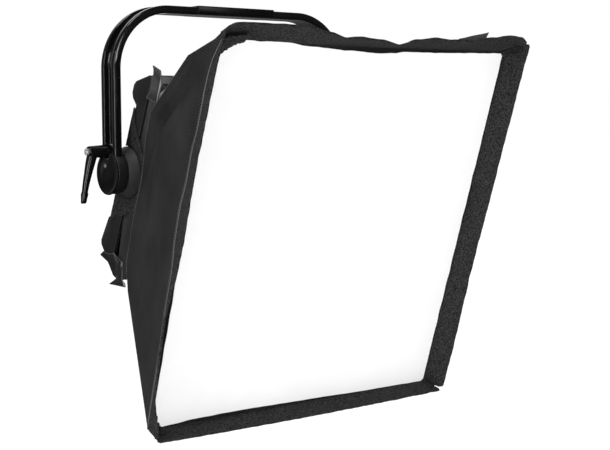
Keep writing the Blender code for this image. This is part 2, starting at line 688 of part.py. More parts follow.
def make_front_cloth(parent, material):
    """White cloth just inside the lip's rear edge, very slightly bellied."""
    half_x = CLOTH_HALF_WIDTH - FABRIC - 4 * GAP
    half_z = CLOTH_HALF_HEIGHT - FABRIC - 4 * GAP

    def surface(s, t):
        belly = 0.002 * math.sin(math.pi * s) * math.sin(math.pi * t)
        u = CLOTH_DISTANCE + 0.003 + belly
        return (blend(-half_x, half_x, s), -u, blend(-half_z, half_z, t))

    bm = fabric_plate(surface, 4, 4, 0.002, (0, 1, 0))
    return add_object("front_diffuser", bm, material, parent)


def make_corner_rod(code, side, level, parent, material):
    """Spring rod inside a corner seam, from the front frame to the cloth's corner."""
    start = Vector((side * 0.203, -(0.093 if level > 0 else 0.060), level * 0.166))
    cloth = CLOTH_TOP if level > 0 else CLOTH_BOTTOM
    inset = 0.0105
    end = Vector((side * (cloth[0] - inset), -(cloth[1] - 0.006), level * (abs(cloth[2]) - inset)))
    points = []
    steps = 6
    for i in range(steps + 1):
        s = i / steps
        bow = 0.004 * math.sin(math.pi * s)
        points.append(start.lerp(end, s) + Vector((side * bow, 0, level * bow)))
    return add_object("corner_rod_" + code, rod_along(points, ROD_RADIUS), material, parent,
                      smooth=True)


def make_side_flap(name, side, parent, material):
    """Flap round the boss: two tails lie on the side plate and fold over behind it."""
    x_in = HEAD_HALF_WIDTH + GAP
    x_out = x_in + 0.0025
    fold = 0.023 + GAP
    outline = [(0.056, 0.046), (0.034, 0.052), (0.018, 0.066), (0.003, 0.078), (-0.012, 0.092),
               (-fold, 0.115), (-0.0258, 0.115), (-0.0258, -0.104), (-fold, -0.104),
               (-0.006, -0.093), (0.013, -0.081), (0.031, -0.064), (0.056, -0.056)]
    flap = add_object("side_flap_" + name, side_prism(outline, side * x_in, side * x_out),
                      material, parent)
    for level, low, high in (("upper", 0.030, 0.113), ("lower", -0.096, -0.030)):
        reach = sorted((side * 0.176, side * (x_in + 0.001)))
        join(flap, "flap_%s_tail_%s" % (level, name),
             box((reach[0], fold, low), (reach[1], 0.0256, high)), parent)
    hole = turned([(side * 0.170, BOSS_BASE_RADIUS + 0.001),
                   (side * (x_out + 0.01), BOSS_BASE_RADIUS + 0.001)], (0, 0, 0), segments=40)
    cut(flap, "flap_hole_cutter_" + name, hole, parent)
    return flap


def make_pull_tab(parent, material):
    """Folded webbing tab that stands up behind the top lip, near its right end."""
    outline = [(0.205, 0.3225), (0.262, 0.3225), (0.270, 0.337), (0.2735, 0.3565),
               (0.205, 0.3425)]
    rings = [[(x, y, z) for x, z in outline] for y in (-0.305, -0.3035)]
    return add_object("pull_tab", skin_rings(rings), material, parent)


# ---------------------------------------------------------------- assembly
def main():
    clear_scene()
    gloss_black = make_material("yoke_black", (0.012, 0.012, 0.013), 0.32)
    hub_grey = make_material("hub_grey", (0.045, 0.045, 0.047), 0.45)
    boss_grey = make_material("boss_grey", (0.070, 0.070, 0.072), 0.50)
    lever_plastic = make_material("lever_plastic", (0.010, 0.010, 0.010), 0.30)
    chrome = make_material("chrome", (0.75, 0.75, 0.77), 0.12, 1.0)
    steel = make_material("steel", (0.35, 0.35, 0.36), 0.35, 1.0)
    housing_black = make_material("housing_black", (0.020, 0.020, 0.021), 0.55)
    plate_grey = make_material("plate_grey", (0.035, 0.035, 0.037), 0.50)
    frame_grey = make_material("frame_grey", (0.055, 0.055, 0.058), 0.50)
    bracket_grey = make_material("bracket_grey", (0.095, 0.095, 0.098), 0.50)
    board_white = make_material("board_white", (0.70, 0.70, 0.68), 0.50)
    opal = make_material("opal", (0.90, 0.90, 0.88), 0.45)
    glass = make_material("display_glass", (0.02, 0.03, 0.04), 0.10)
    fabric = make_material("black_fabric", (0.035, 0.035, 0.036), 0.90)
    loop_tape = make_material("loop_tape", (0.028, 0.028, 0.028), 0.95)
    white_cloth = make_material("white_cloth", (0.93, 0.93, 0.93), 0.85)
    rod_black = make_material("rod_black", (0.015, 0.015, 0.015), 0.40)
    webbing = make_material("webbing", (0.12, 0.12, 0.12), 0.80)

    make_yoke(gloss_black)
    make_top_sleeve(gloss_black)
    hubs = {name: make_hub(side, name, boss_grey, hub_grey, steel)
            for name, side in (("left", -1), ("right", 1))}
    make_cap_screw(-1, "left", steel)
    make_cap_screw(1, "right", steel)
    make_lever(lever_plastic, steel, chrome)
    drum, cap = hubs["left"]
    lever_centre = (0, 0, LEVER_HEIGHT - PIVOT_DROP)
    notch = turned([(-0.27, 0.0138), (-0.2517, 0.0138)], lever_centre, segments=32)
    cut(cap, "cap_notch_cutter", notch)
    recess = turned([(-0.27, 0.0134), (-0.2465, 0.0134), (-0.2465, 0.0052), (-0.2300, 0.0052)],
                    lever_centre, segments=32)
    cut(drum, "drum_notch_cutter", recess)

    head = make_empty("tilt_axis", (0, 0, -PIVOT_DROP), HEAD_TILT)
    make_rear_housing(head, housing_black)
    make_side_plates(head, plate_grey)
    for name, side in (("left", -1), ("right", 1)):
        make_tilt_boss(side, name, head, boss_grey)
    make_light_box(head, housing_black)
    make_front_frame(head, frame_grey)
    corners = (("tl", -1, 1), ("tr", 1, 1), ("bl", -1, -1), ("br", 1, -1))
    for code, side, level in corners:
        make_corner_bracket(code, side, level, head, bracket_grey)
    make_heat_sink(head, housing_black)
    make_light_engine(head, board_white, opal, steel)
    make_controls(head, housing_black, glass, lever_plastic, steel)

    softbox = make_empty("softbox_axis", (0, 0, 0), -SOFTBOX_LIFT, head)
    make_side_panel("left", -1, softbox, fabric)
    make_side_panel("right", 1, softbox, fabric)
    make_cross_panel("top", 1, softbox, fabric)
    make_cross_panel("bottom", -1, softbox, fabric)
    make_lip("left", (1, 0, 0), softbox, loop_tape)
    make_lip("right", (-1, 0, 0), softbox, loop_tape)
    make_lip("top", (0, 0, -1), softbox, loop_tape)
    make_lip("bottom", (0, 0, 1), softbox, loop_tape)
    make_front_cloth(softbox, white_cloth)
    for code, side, level in corners:
        make_corner_rod(code, side, level, softbox, rod_black)
    for name, side in (("left", -1), ("right", 1)):
        make_side_flap(name, side, head, loop_tape)
    make_pull_tab(softbox, webbing)


main()
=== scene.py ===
import math

import bmesh
import bpy
from mathutils import Matrix, Vector, noise


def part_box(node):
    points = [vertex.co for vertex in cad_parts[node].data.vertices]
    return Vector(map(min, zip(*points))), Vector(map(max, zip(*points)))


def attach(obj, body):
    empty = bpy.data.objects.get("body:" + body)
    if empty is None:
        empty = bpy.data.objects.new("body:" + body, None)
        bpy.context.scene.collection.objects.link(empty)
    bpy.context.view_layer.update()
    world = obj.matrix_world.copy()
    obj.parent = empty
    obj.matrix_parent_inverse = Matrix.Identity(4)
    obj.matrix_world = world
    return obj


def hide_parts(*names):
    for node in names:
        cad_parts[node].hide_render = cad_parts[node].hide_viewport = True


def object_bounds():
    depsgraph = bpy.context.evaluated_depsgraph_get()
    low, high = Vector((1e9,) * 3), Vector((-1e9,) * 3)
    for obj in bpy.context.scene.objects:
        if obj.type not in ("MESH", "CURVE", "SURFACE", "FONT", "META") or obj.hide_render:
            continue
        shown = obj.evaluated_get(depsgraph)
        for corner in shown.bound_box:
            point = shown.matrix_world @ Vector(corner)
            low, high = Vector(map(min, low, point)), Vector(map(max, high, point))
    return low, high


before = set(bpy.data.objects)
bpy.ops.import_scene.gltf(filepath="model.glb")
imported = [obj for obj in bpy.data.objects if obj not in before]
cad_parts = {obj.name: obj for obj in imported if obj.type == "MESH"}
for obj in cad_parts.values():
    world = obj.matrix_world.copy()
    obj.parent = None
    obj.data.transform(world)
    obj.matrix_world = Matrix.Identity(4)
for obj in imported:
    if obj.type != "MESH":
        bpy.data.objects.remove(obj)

CAD_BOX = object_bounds()

# ---------------------------------------------------------------- places and sizes (metres)
HUB_LOW, HUB_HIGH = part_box("hub_cap_left")
PIVOT = Vector((0.0, 0.0, (HUB_LOW.z + HUB_HIGH.z) / 2))
SOFTBOX_TILT = math.radians(18.0)

ARM_X = 0.258                     # outer faces of the yoke's arms
YOKE_BEND = 0.114                 # outer radius of its bends
CHANNEL_HALF_DEPTH = 0.024
CHANNEL_THICKNESS = 0.014
CHANNEL_WEB = 0.003
GROOVE_HALF_WIDTH = 0.013
HUB_RADIUS = 0.0375
LEVER_HEIGHT = 0.0393             # the lever's axis above the hub's
BAR_TOP = -0.0023                 # the bar's top face, below the sleeve's
SLOT_ENDS = (0.2095, 0.1925)      # centres of the arm slots' round ends, above the pivot
SLOT_RADIUS = 0.0085
STUD_HOLE = 0.0048
BARREL_HOLE = 0.0138              # round the lever's barrel, in the cap
SEAT_GAP = 0.0004                 # between the hub drums and the arms
PAST_CAP = 0.27                   # where cutters end, clear of the caps
DIMPLE_FLOOR = 0.2605             # of the dimple that a cap's screw sits in

CLOTH_HALF_WIDTH = 0.306
CLOTH_HALF_HEIGHT = 0.327
CLOTH_DISTANCE = 0.320            # from the pivot, along the beam
LIP_DISTANCE = 0.365
LIP_HALF_WIDTH = 0.315
LIP_TOP = 0.358
LIP_BOTTOM = -0.326
PANEL_BULGE = 0.008

# thicknesses and cord radii
FABRIC = 0.0016
LIP_TAPE = 0.0022
WHITE_CLOTH = 0.0010
THIN_TAPE = 0.0012
SEAM_CORD_RADIUS = 0.0008
LIP_EDGE_RADIUS = 0.0012

# sheets cut flat, width by length, and the area of the cuts that aren't rectangles
LIP_UPRIGHT_FLAT = (0.050, 0.67)
LIP_LEVEL_FLAT = (0.052, 0.61)
CLOTH_FLAT = (0.604, 0.645)
TAB_FLAT, TAB_AREA = (0.034, 0.070), 0.0017
TAPE_WIDTH = 0.050

# rear edge of the fabric sides: (out from the middle, along the beam, up)
TOP_KINK = (0.288, 0.234, 0.280)
HEM_TOP = (0.2245, 0.050, 0.131)
HEM_BOTTOM = (0.2245, 0.046, -0.150)
LOW_CORNER = (0.2255, 0.068, -0.200)
ROOF_HEM = (0.190, 0.058, 0.196)
FLOOR_HEM = (0.190, 0.064, -0.197)


# ---------------------------------------------------------------- small helpers
SOFTBOX = Matrix.Translation(PIVOT) @ Matrix.Rotation(SOFTBOX_TILT, 4, "X")
FROM_SOFTBOX = SOFTBOX.inverted()


def in_softbox(x, along, up):
    """A world point from one across the softbox, along its beam and up."""
    return SOFTBOX @ Vector((x, -along, up))


def mix(a, b, t):
    return a + (b - a) * t


def stations(pairs, t):
    """A smooth value at t through (place, value) pairs."""
    for (t0, v0), (t1, v1) in zip(pairs, pairs[1:]):
        if t <= t1:
            share = max(0.0, (t - t0) / (t1 - t0))
            share = share * share * (3 - 2 * share)
            return mix(v0, v1, share)
    return pairs[-1][1]


def corner_line(points, places, t):
    """The point at t on a line through points, reached at the given places."""
    for k in range(len(places) - 1):
        if t <= places[k + 1]:
            share = (t - places[k]) / (places[k + 1] - places[k])
            return tuple(mix(a, b, share) for a, b in zip(points[k], points[k + 1]))
    return points[-1]


def ridge(value, centre, width):
    """A smooth hump of height 1 at centre."""
    return math.exp(-((value - centre) / width) ** 2)


def ripple(x, y, z=0.0):
    """Smooth noise about zero."""
    return noise.noise(Vector((x, y, z)))


def put(name, bm, material, body, angle=35.0):
    """A smooth-shaded mesh piece that rides on a body."""
    mesh = bpy.data.meshes.new(name)
    bm.to_mesh(mesh)
    bm.free()
    mesh.materials.append(material)
    mesh.shade_smooth()
    mesh.set_sharp_from_angle(angle=math.radians(angle))
    obj = bpy.data.objects.new(name, mesh)
    bpy.context.scene.collection.objects.link(obj)
    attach(obj, body)
    return obj


def bake(obj):
    """Applies the modifiers."""
    bpy.context.view_layer.update()
    shape = obj.evaluated_get(bpy.context.evaluated_depsgraph_get())
    mesh = bpy.data.meshes.new_from_object(shape)
    obj.modifiers.clear()
    obj.data = mesh


def carve(obj, bm, operation="DIFFERENCE"):
    """Cuts a closed mesh out of a piece, or joins it on."""
    mesh = bpy.data.meshes.new("cutter")
    bmesh.ops.recalc_face_normals(bm, faces=bm.faces)
    bm.to_mesh(mesh)
    bm.free()
    cutter = bpy.data.objects.new("cutter", mesh)
    bpy.context.scene.collection.objects.link(cutter)
    modifier = obj.modifiers.new("carve", "BOOLEAN")
    modifier.operation = operation
    modifier.solver = "EXACT"
    modifier.object = cutter
    bake(obj)
    bpy.data.objects.remove(cutter)


def soften(obj, width, segments=3, angle=35.0):
    """Rounds a piece's sharp edges."""
    modifier = obj.modifiers.new("soften", "BEVEL")
    modifier.width = width
    modifier.segments = segments
    modifier.limit_method = "ANGLE"
    modifier.angle_limit = math.radians(angle)
    modifier.harden_normals = True


def skin(rings, closed=False, bm=None):
    """A closed surface through rings of points: capped at both ends, or joined round."""
    bm = bm or bmesh.new()
    loops = [[bm.verts.new(point) for point in ring] for ring in rings]
    count = len(loops[0])
    pairs = list(zip(loops, loops[1:]))
    if closed:
        pairs.append((loops[-1], loops[0]))
    for near, far in pairs:
        for i in range(count):
            j = (i + 1) % count
            bm.faces.new((near[i], near[j], far[j], far[i]))
    if not closed:
        bm.faces.new(loops[0])
        bm.faces.new(loops[-1])
    bmesh.ops.recalc_face_normals(bm, faces=bm.faces)
    return bm


def turned(profile, centre, segments=64, closed=False):
    """A solid turned about an axis along X; profile lists (x, radius)."""
    rings = []
    for x, radius in profile:
        ring = []
        for i in range(segments):
            angle = 2 * math.pi * i / segments
            ring.append((x, centre.y + radius * math.cos(angle), centre.z + radius * math.sin(angle)))
        rings.append(ring)
    return skin(rings, closed=closed)


# ---------------------------------------------------------------- materials
WAVE_PERIOD = 2 * math.pi / 20    # of a wave texture at a scale of 1


def add(tree, kind, inputs=None, **settings):
    """A new node; its inputs take values or other nodes' outputs."""
    node = tree.nodes.new(kind)
    for key, value in settings.items():
        setattr(node, key, value)
    for key, value in (inputs or {}).items():
        if isinstance(value, bpy.types.NodeSocket):
            tree.links.new(value, node.inputs[key])
        else:
            node.inputs[key].default_value = value
    return node


def two_tone(tree, factor, dark, light, low=0.3, high=0.7):
    """The colour between dark and light at a factor."""
    ramp = add(tree, "ShaderNodeValToRGB", {"Fac": factor})
    ramp.color_ramp.elements[0].position = low
    ramp.color_ramp.elements[0].color = (*dark, 1.0)
    ramp.color_ramp.elements[1].position = high
    ramp.color_ramp.elements[1].color = (*light, 1.0)
    return ramp.outputs["Color"]


def span(tree, value, low, high):
    """A noise value stretched to run from low to high."""
    node = add(tree, "ShaderNodeMapRange", {"Value": value, "From Min": 0.25, "From Max": 0.75,
                                            "To Min": low, "To Max": high})
    return node.outputs["Result"]


def shader_of(name):
    """A new material, its node tree and its shader."""
    material = bpy.data.materials.new(name)
    material.use_nodes = True
    return material, material.node_tree, material.node_tree.nodes["Principled BSDF"]


def hard_finish(name, dark, light, rough, metallic=0.0, specular=0.5, grain=700.0, depth=0.00006,
                coat=0.0, edge_highlight=None):
    """Paint, cast metal or moulded plastic: smudges, fine grain and lighter rounded edges, a painted
    highlight.
    """
    material, tree, shader = shader_of(name)
    place = add(tree, "ShaderNodeTexCoord").outputs["Object"]
    smudge = add(tree, "ShaderNodeTexNoise", {"Vector": place, "Scale": 14.0, "Detail": 6.0,
                                              "Roughness": 0.62})
    fine = add(tree, "ShaderNodeTexNoise", {"Vector": place, "Scale": grain, "Detail": 3.0})
    colour = two_tone(tree, smudge.outputs["Fac"], dark, light)
    # Painted highlight: a bevel-node mask lightens the colour along rounded edges, where light would
    # catch them.
    if edge_highlight:
        flat = add(tree, "ShaderNodeNewGeometry").outputs["Normal"]
        round_edge = add(tree, "ShaderNodeBevel", {"Radius": 0.0014}, samples=6).outputs["Normal"]
        same = add(tree, "ShaderNodeVectorMath", {0: flat, 1: round_edge}, operation="DOT_PRODUCT")
        highlight_mask = add(tree, "ShaderNodeMapRange", {"Value": same.outputs["Value"], "From Min": 0.99,
                                                "From Max": 0.86})
        blend = add(tree, "ShaderNodeMix", data_type="RGBA")
        tree.links.new(highlight_mask.outputs["Result"], blend.inputs["Factor"])
        tree.links.new(colour, blend.inputs[6])
        blend.inputs[7].default_value = (*edge_highlight, 1.0)
        colour = blend.outputs[2]
    tree.links.new(colour, shader.inputs["Base Color"])
    tree.links.new(span(tree, smudge.outputs["Fac"], rough[0], rough[1]), shader.inputs["Roughness"])
    shader.inputs["Metallic"].default_value = metallic
    shader.inputs["Specular IOR Level"].default_value = specular
    shader.inputs["Coat Weight"].default_value = coat
    bump = add(tree, "ShaderNodeBump", {"Height": fine.outputs["Fac"], "Distance": depth,
                                        "Strength": 0.6})
    tree.links.new(bump.outputs["Normal"], shader.inputs["Normal"])
    return material


def twill(name, dark, light, pitch=0.0049, slant=-1.56):
    """Woven nylon: diagonal ribs over UVs in metres, cross threads and soft shade changes."""
    material, tree, shader = shader_of(name)
    uv = add(tree, "ShaderNodeTexCoord").outputs["UV"]
    turned_uv = add(tree, "ShaderNodeMapping", {"Vector": uv, "Rotation": (0, 0, slant)})
    ribs = add(tree, "ShaderNodeTexWave", {"Vector": turned_uv.outputs["Vector"],
                                           "Scale": WAVE_PERIOD / pitch, "Distortion": 1.5,
                                           "Detail": 2.0, "Detail Scale": 24.0},
               wave_type="BANDS", bands_direction="X")
    threads = add(tree, "ShaderNodeTexNoise", {"Vector": uv, "Scale": 900.0, "Detail": 2.0})
    shade = add(tree, "ShaderNodeTexNoise", {"Vector": uv, "Scale": 9.0, "Detail": 3.0})
    amount = add(tree, "ShaderNodeMath", {0: ribs.outputs["Fac"], 1: 0.23}, operation="MULTIPLY")
    with_threads = add(tree, "ShaderNodeMath", {0: threads.outputs["Fac"], 1: 0.35,
                                                2: amount.outputs["Value"]},
                       operation="MULTIPLY_ADD")
    total = add(tree, "ShaderNodeMath", {0: shade.outputs["Fac"], 1: 0.4,
                                         2: with_threads.outputs["Value"]},
                operation="MULTIPLY_ADD")
    colour = two_tone(tree, total.outputs["Value"], dark, light, 0.25, 0.85)
    tree.links.new(colour, shader.inputs["Base Color"])
    tree.links.new(span(tree, threads.outputs["Fac"], 0.72, 0.92), shader.inputs["Roughness"])
    shader.inputs["Specular IOR Level"].default_value = 0.10
    bump = add(tree, "ShaderNodeBump", {"Height": with_threads.outputs["Value"],
                                        "Distance": 0.0005, "Strength": 0.5})
    tree.links.new(bump.outputs["Normal"], shader.inputs["Normal"])
    return material


def felt(name, dark, light, size=0.0030):
    """Brushed loop tape: tangled pile with light and dark tufts."""
    material, tree, shader = shader_of(name)
    place = add(tree, "ShaderNodeTexCoord").outputs["Object"]
    tufts = add(tree, "ShaderNodeTexNoise", {"Vector": place, "Scale": 1.0 / size, "Detail": 5.0,
                                             "Roughness": 0.75, "Distortion": 0.4})
    cells = add(tree, "ShaderNodeTexVoronoi", {"Vector": place, "Scale": 1.6 / size})
    height = add(tree, "ShaderNodeMath", {0: cells.outputs["Distance"], 1: -0.5,
                                          2: tufts.outputs["Fac"]}, operation="MULTIPLY_ADD")
    colour = two_tone(tree, tufts.outputs["Fac"], dark, light, 0.36, 0.66)
    tree.links.new(colour, shader.inputs["Base Color"])
    tree.links.new(span(tree, tufts.outputs["Fac"], 0.88, 1.0), shader.inputs["Roughness"])
    shader.inputs["Specular IOR Level"].default_value = 0.05
    bump = add(tree, "ShaderNodeBump", {"Height": height.outputs["Value"], "Distance": 0.0012,
                                        "Strength": 0.7})
    tree.links.new(bump.outputs["Normal"], shader.inputs["Normal"])
    return material


def plain_weave(name, dark, light, pitch, bump_depth, rough=(0.75, 0.9)):
    """Plain woven cloth or webbing: crossed threads over UVs in metres."""
    material, tree, shader = shader_of(name)
    uv = add(tree, "ShaderNodeTexCoord").outputs["UV"]
    scale = WAVE_PERIOD / pitch
    warp = add(tree, "ShaderNodeTexWave", {"Vector": uv, "Scale": scale, "Distortion": 0.4},
               bands_direction="X")
    weft = add(tree, "ShaderNodeTexWave", {"Vector": uv, "Scale": scale, "Distortion": 0.4},
               bands_direction="Y")
    weave = add(tree, "ShaderNodeMath", {0: warp.outputs["Fac"], 1: weft.outputs["Fac"]},
                operation="MULTIPLY")
    # Painted shade: the crease noise also runs into the colour, darkening the cloth along its soft
    # creases, besides giving their bump.
    shaded_creases = add(tree, "ShaderNodeTexNoise", {"Vector": uv, "Scale": 7.0, "Detail": 4.0,
                                               "Distortion": 1.2})
    amount = add(tree, "ShaderNodeMath", {0: weave.outputs["Value"], 1: 0.35,
                                          2: shaded_creases.outputs["Fac"]}, operation="MULTIPLY_ADD")
    colour = two_tone(tree, amount.outputs["Value"], dark, light, 0.3, 0.9)
    tree.links.new(colour, shader.inputs["Base Color"])
    tree.links.new(span(tree, shaded_creases.outputs["Fac"], rough[0], rough[1]), shader.inputs["Roughness"])
    shader.inputs["Specular IOR Level"].default_value = 0.2
    bump = add(tree, "ShaderNodeBump", {"Height": amount.outputs["Value"], "Distance": bump_depth,
                                        "Strength": 0.5})
    tree.links.new(bump.outputs["Normal"], shader.inputs["Normal"])
    return material


# Where a finish below has a lighter edge colour, that colour is a painted highlight along rounded edges.
YOKE_PAINT = hard_finish("yoke_paint", (0.0022, 0.0022, 0.0024), (0.0045, 0.0045, 0.005),
                         (0.07, 0.12), specular=0.5, grain=420.0, depth=0.00002, coat=0.3,
                         edge_highlight=(0.16, 0.16, 0.165))
SLEEVE_PAINT = hard_finish("sleeve_paint", (0.0025, 0.0025, 0.0025), (0.005, 0.005, 0.005),
                           (0.2, 0.32), specular=0.12, grain=420.0, edge_highlight=(0.05, 0.05, 0.05))
CAP_PAINT = hard_finish("cap_paint", (0.003, 0.003, 0.0033), (0.008, 0.008, 0.009), (0.30, 0.46),
                        specular=0.18, grain=900.0, edge_highlight=(0.20, 0.20, 0.20))
CAST_GREY = hard_finish("cast_grey", (0.016, 0.016, 0.017), (0.030, 0.030, 0.031), (0.42, 0.6),
                        specular=0.25, grain=1100.0, depth=0.00012, edge_highlight=(0.14, 0.14, 0.14))
DRUM_GREY = hard_finish("drum_grey", (0.007, 0.007, 0.0075), (0.014, 0.014, 0.015), (0.42, 0.6),
                        specular=0.25, grain=1100.0, depth=0.00012, edge_highlight=(0.12, 0.12, 0.12))
PLASTIC = hard_finish("lever_plastic", (0.002, 0.002, 0.002), (0.005, 0.005, 0.005), (0.10, 0.18),
                      specular=0.6, grain=800.0, depth=0.00003)
CHROME = hard_finish("chrome", (0.62, 0.62, 0.64), (0.82, 0.82, 0.84), (0.08, 0.2), metallic=0.7,
                     grain=2200.0, depth=0.00002)
STEEL = hard_finish("steel", (0.30, 0.30, 0.31), (0.46, 0.46, 0.47), (0.26, 0.44), metallic=0.5,
                    grain=1600.0, depth=0.00004)
HOUSING = hard_finish("housing_powder_coat", (0.005, 0.005, 0.0055), (0.011, 0.011, 0.012),
                      (0.46, 0.62), specular=0.22, grain=1500.0, depth=0.00016,
                      edge_highlight=(0.035, 0.035, 0.036))
PLATE = hard_finish("plate_grey", (0.009, 0.009, 0.0095), (0.018, 0.018, 0.019), (0.40, 0.56),
                    specular=0.25, grain=1300.0, depth=0.0001, edge_highlight=(0.12, 0.12, 0.12))
FRAME = hard_finish("frame_grey", (0.014, 0.014, 0.015), (0.026, 0.026, 0.028), (0.36, 0.5),
                    specular=0.3, grain=1300.0, depth=0.0001, edge_highlight=(0.34, 0.34, 0.34))
BRACKET = hard_finish("bracket_grey", (0.022, 0.022, 0.023), (0.044, 0.044, 0.046), (0.34, 0.5),
                      specular=0.35, grain=1200.0, depth=0.0001, edge_highlight=(0.30, 0.30, 0.31))
# Painted shade: a darker copy of bracket_grey for the lower corner brackets, which get less light from
# above.
LOW_BRACKET_SHADED = hard_finish("low_bracket_grey_painted_shade", (0.009, 0.009, 0.0095), (0.020, 0.020, 0.021),
                          (0.34, 0.5), specular=0.3, grain=1200.0, depth=0.0001,
                          edge_highlight=(0.30, 0.30, 0.31))
BOARD = hard_finish("board_white", (0.62, 0.62, 0.60), (0.74, 0.74, 0.72), (0.4, 0.55), grain=260.0)
OPAL = hard_finish("opal", (0.80, 0.80, 0.78), (0.90, 0.90, 0.88), (0.4, 0.5), grain=60.0)
GLASS = hard_finish("display_glass", (0.008, 0.012, 0.016), (0.014, 0.020, 0.026), (0.05, 0.12),
                    specular=0.6, grain=200.0, depth=0.00001, coat=0.5)
ROD = hard_finish("rod_black", (0.010, 0.010, 0.010), (0.020, 0.020, 0.020), (0.3, 0.45),
                  grain=1400.0)
TWILL = twill("black_twill", (0.004, 0.004, 0.0045), (0.044, 0.044, 0.045))
PIPING = twill("seam_piping", (0.10, 0.10, 0.10), (0.16, 0.16, 0.16), pitch=0.002)
LOOP = felt("loop_tape", (0.002, 0.002, 0.002), (0.056, 0.056, 0.057))
FLAP_FELT = felt("flap_felt", (0.001, 0.001, 0.001), (0.046, 0.046, 0.047))
THREAD = plain_weave("thread", (0.12, 0.12, 0.12), (0.24, 0.24, 0.24), 0.0006, 0.0001)
CLOTH = plain_weave("white_cloth", (0.44, 0.44, 0.44), (0.50, 0.50, 0.50), 0.0016, 0.0003)
CLOTH_SHADER = CLOTH.node_tree.nodes["Principled BSDF"]
# Painted light: the white cloth gets an even glow, which lifts it to white and fills in the shade the
# lips cast on it.
CLOTH_SHADER.inputs["Emission Color"].default_value = (1.0, 1.0, 1.0, 1.0)
CLOTH_SHADER.inputs["Emission Strength"].default_value = 0.50
WEBBING = plain_weave("webbing", (0.06, 0.06, 0.06), (0.15, 0.15, 0.15), 0.0018, 0.0006)


# ---------------------------------------------------------------- yoke
def arc(cx, cy, radius, start, end, steps=4):
    """Points along an arc, with its ends in degrees."""
    return [(cx + radius * math.cos(math.radians(mix(start, end, i / steps))),
             cy + radius * math.sin(math.radians(mix(start, end, i / steps))))
            for i in range(steps + 1)]


def channel_outline():
    """(across, inward) outline: rounded lips on both sides of the groove."""
    half = CHANNEL_HALF_DEPTH
    floor = CHANNEL_THICKNESS - CHANNEL_WEB
    groove = GROOVE_HALF_WIDTH
    deep = CHANNEL_THICKNESS
    side = [(half - 0.0016, deep)]
    side += arc(half - 0.0016, deep - 0.0016, 0.0016, 90, 0)
    side += arc(half - 0.0030, 0.0030, 0.0030, 0, -90, 5)
    side += arc(groove + 0.0018, 0.0018, 0.0018, -90, -180)
    side += arc(groove - 0.0012, floor - 0.0012, 0.0012, 0, 90, 3)
    return side + [(-across, inward) for across, inward in reversed(side)]


def make_yoke():
    """The bent channel in one piece, with its slots, stud hole and drum seats."""
    bend_z = BAR_TOP - YOKE_BEND
    bend_x = ARM_X - YOKE_BEND
    outline = channel_outline()

    def ring(centre_x, centre_z, angle):
        out = Vector((math.cos(angle), 0.0, math.sin(angle)))
        return [Vector((centre_x, across, centre_z)) + out * (YOKE_BEND - inward)
                for across, inward in outline]

    steps = 28
    rings = [ring(-bend_x, PIVOT.z, math.pi), ring(-bend_x, mix(PIVOT.z, bend_z, 0.5), math.pi)]
    rings += [ring(-bend_x, bend_z, math.pi - i * math.pi / 2 / steps) for i in range(steps + 1)]
    rings += [ring(bend_x, bend_z, math.pi / 2 - i * math.pi / 2 / steps) for i in range(steps + 1)]
    rings += [ring(bend_x, mix(PIVOT.z, bend_z, 0.5), 0.0), ring(bend_x, PIVOT.z, 0.0)]
    yoke = put("yoke_channel", skin(rings), YOKE_PAINT, "yoke")
    seat = HUB_RADIUS + SEAT_GAP
    carve(yoke, turned([(-PAST_CAP, seat), (PAST_CAP, seat)], PIVOT, 96))
    for side in (-1, 1):
        slot = []
        for x in (side * 0.235, side * PAST_CAP):
            loop = arc(0, PIVOT.z + SLOT_ENDS[0], SLOT_RADIUS, 0, 180, 10)
            loop += arc(0, PIVOT.z + SLOT_ENDS[1], SLOT_RADIUS, 180, 360, 10)
            slot.append([(x, y, z) for y, z in loop])
        carve(yoke, skin(slot))
    stud = Vector((0, 0, PIVOT.z + LEVER_HEIGHT))
    carve(yoke, turned([(-PAST_CAP, STUD_HOLE), (-0.23, STUD_HOLE)], stud, 32))
    soften(yoke, 0.0005, 2, 50)
    yoke.data.shade_smooth()
    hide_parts("yoke_bar", "yoke_arm_left", "yoke_arm_right")


def make_hub_cap(name, side):
    """Round cap: rolled rim, a shallow dish and a screw seat."""
    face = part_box("hub_cap_" + name)
    inner = face[0].x if side > 0 else face[1].x
    thick = 0.004
    profile = [(0.0, 0.0370), (0.0006, 0.0375), (thick - 0.0016, 0.0375), (thick - 0.0006, 0.0371),
               (thick, 0.0362), (thick, 0.0350), (thick - 0.0005, 0.0342), (thick - 0.0009, 0.0325),
               (thick - 0.0009, 0.0215), (thick - 0.0006, 0.0208), (thick - 0.0006, 0.0100),
               (thick - 0.0006, 0.0012)]
    rings = [(inner + side * x, r) for x, r in profile]
    cap = put("cap_" + name, turned(rings, PIVOT, 96), CAP_PAINT, "yoke")
    if side < 0:
        stud = Vector((0, 0, PIVOT.z + LEVER_HEIGHT))
        carve(cap, turned([(-PAST_CAP, BARREL_HOLE), (-0.25, BARREL_HOLE)], stud, 48))
    dimple = Vector((0, 0.006, PIVOT.z + 0.014))
    carve(cap, turned([(side * DIMPLE_FLOOR, 0.0040), (side * PAST_CAP, 0.0046)], dimple, 32))
    cap.data.shade_smooth()
    cap.data.set_sharp_from_angle(angle=math.radians(40))
    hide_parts("hub_cap_" + name)
    screw = put("cap_screw_" + name,
                turned([(side * x, r) for x, r in ((DIMPLE_FLOOR, 0.0030), (0.2626, 0.0030),
                                                   (0.2630, 0.0026), (0.2630, 0.0014),
                                                   (0.2618, 0.0013))], dimple, 24),
                STEEL, "yoke")
    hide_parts("hub_cap_screw_" + name)


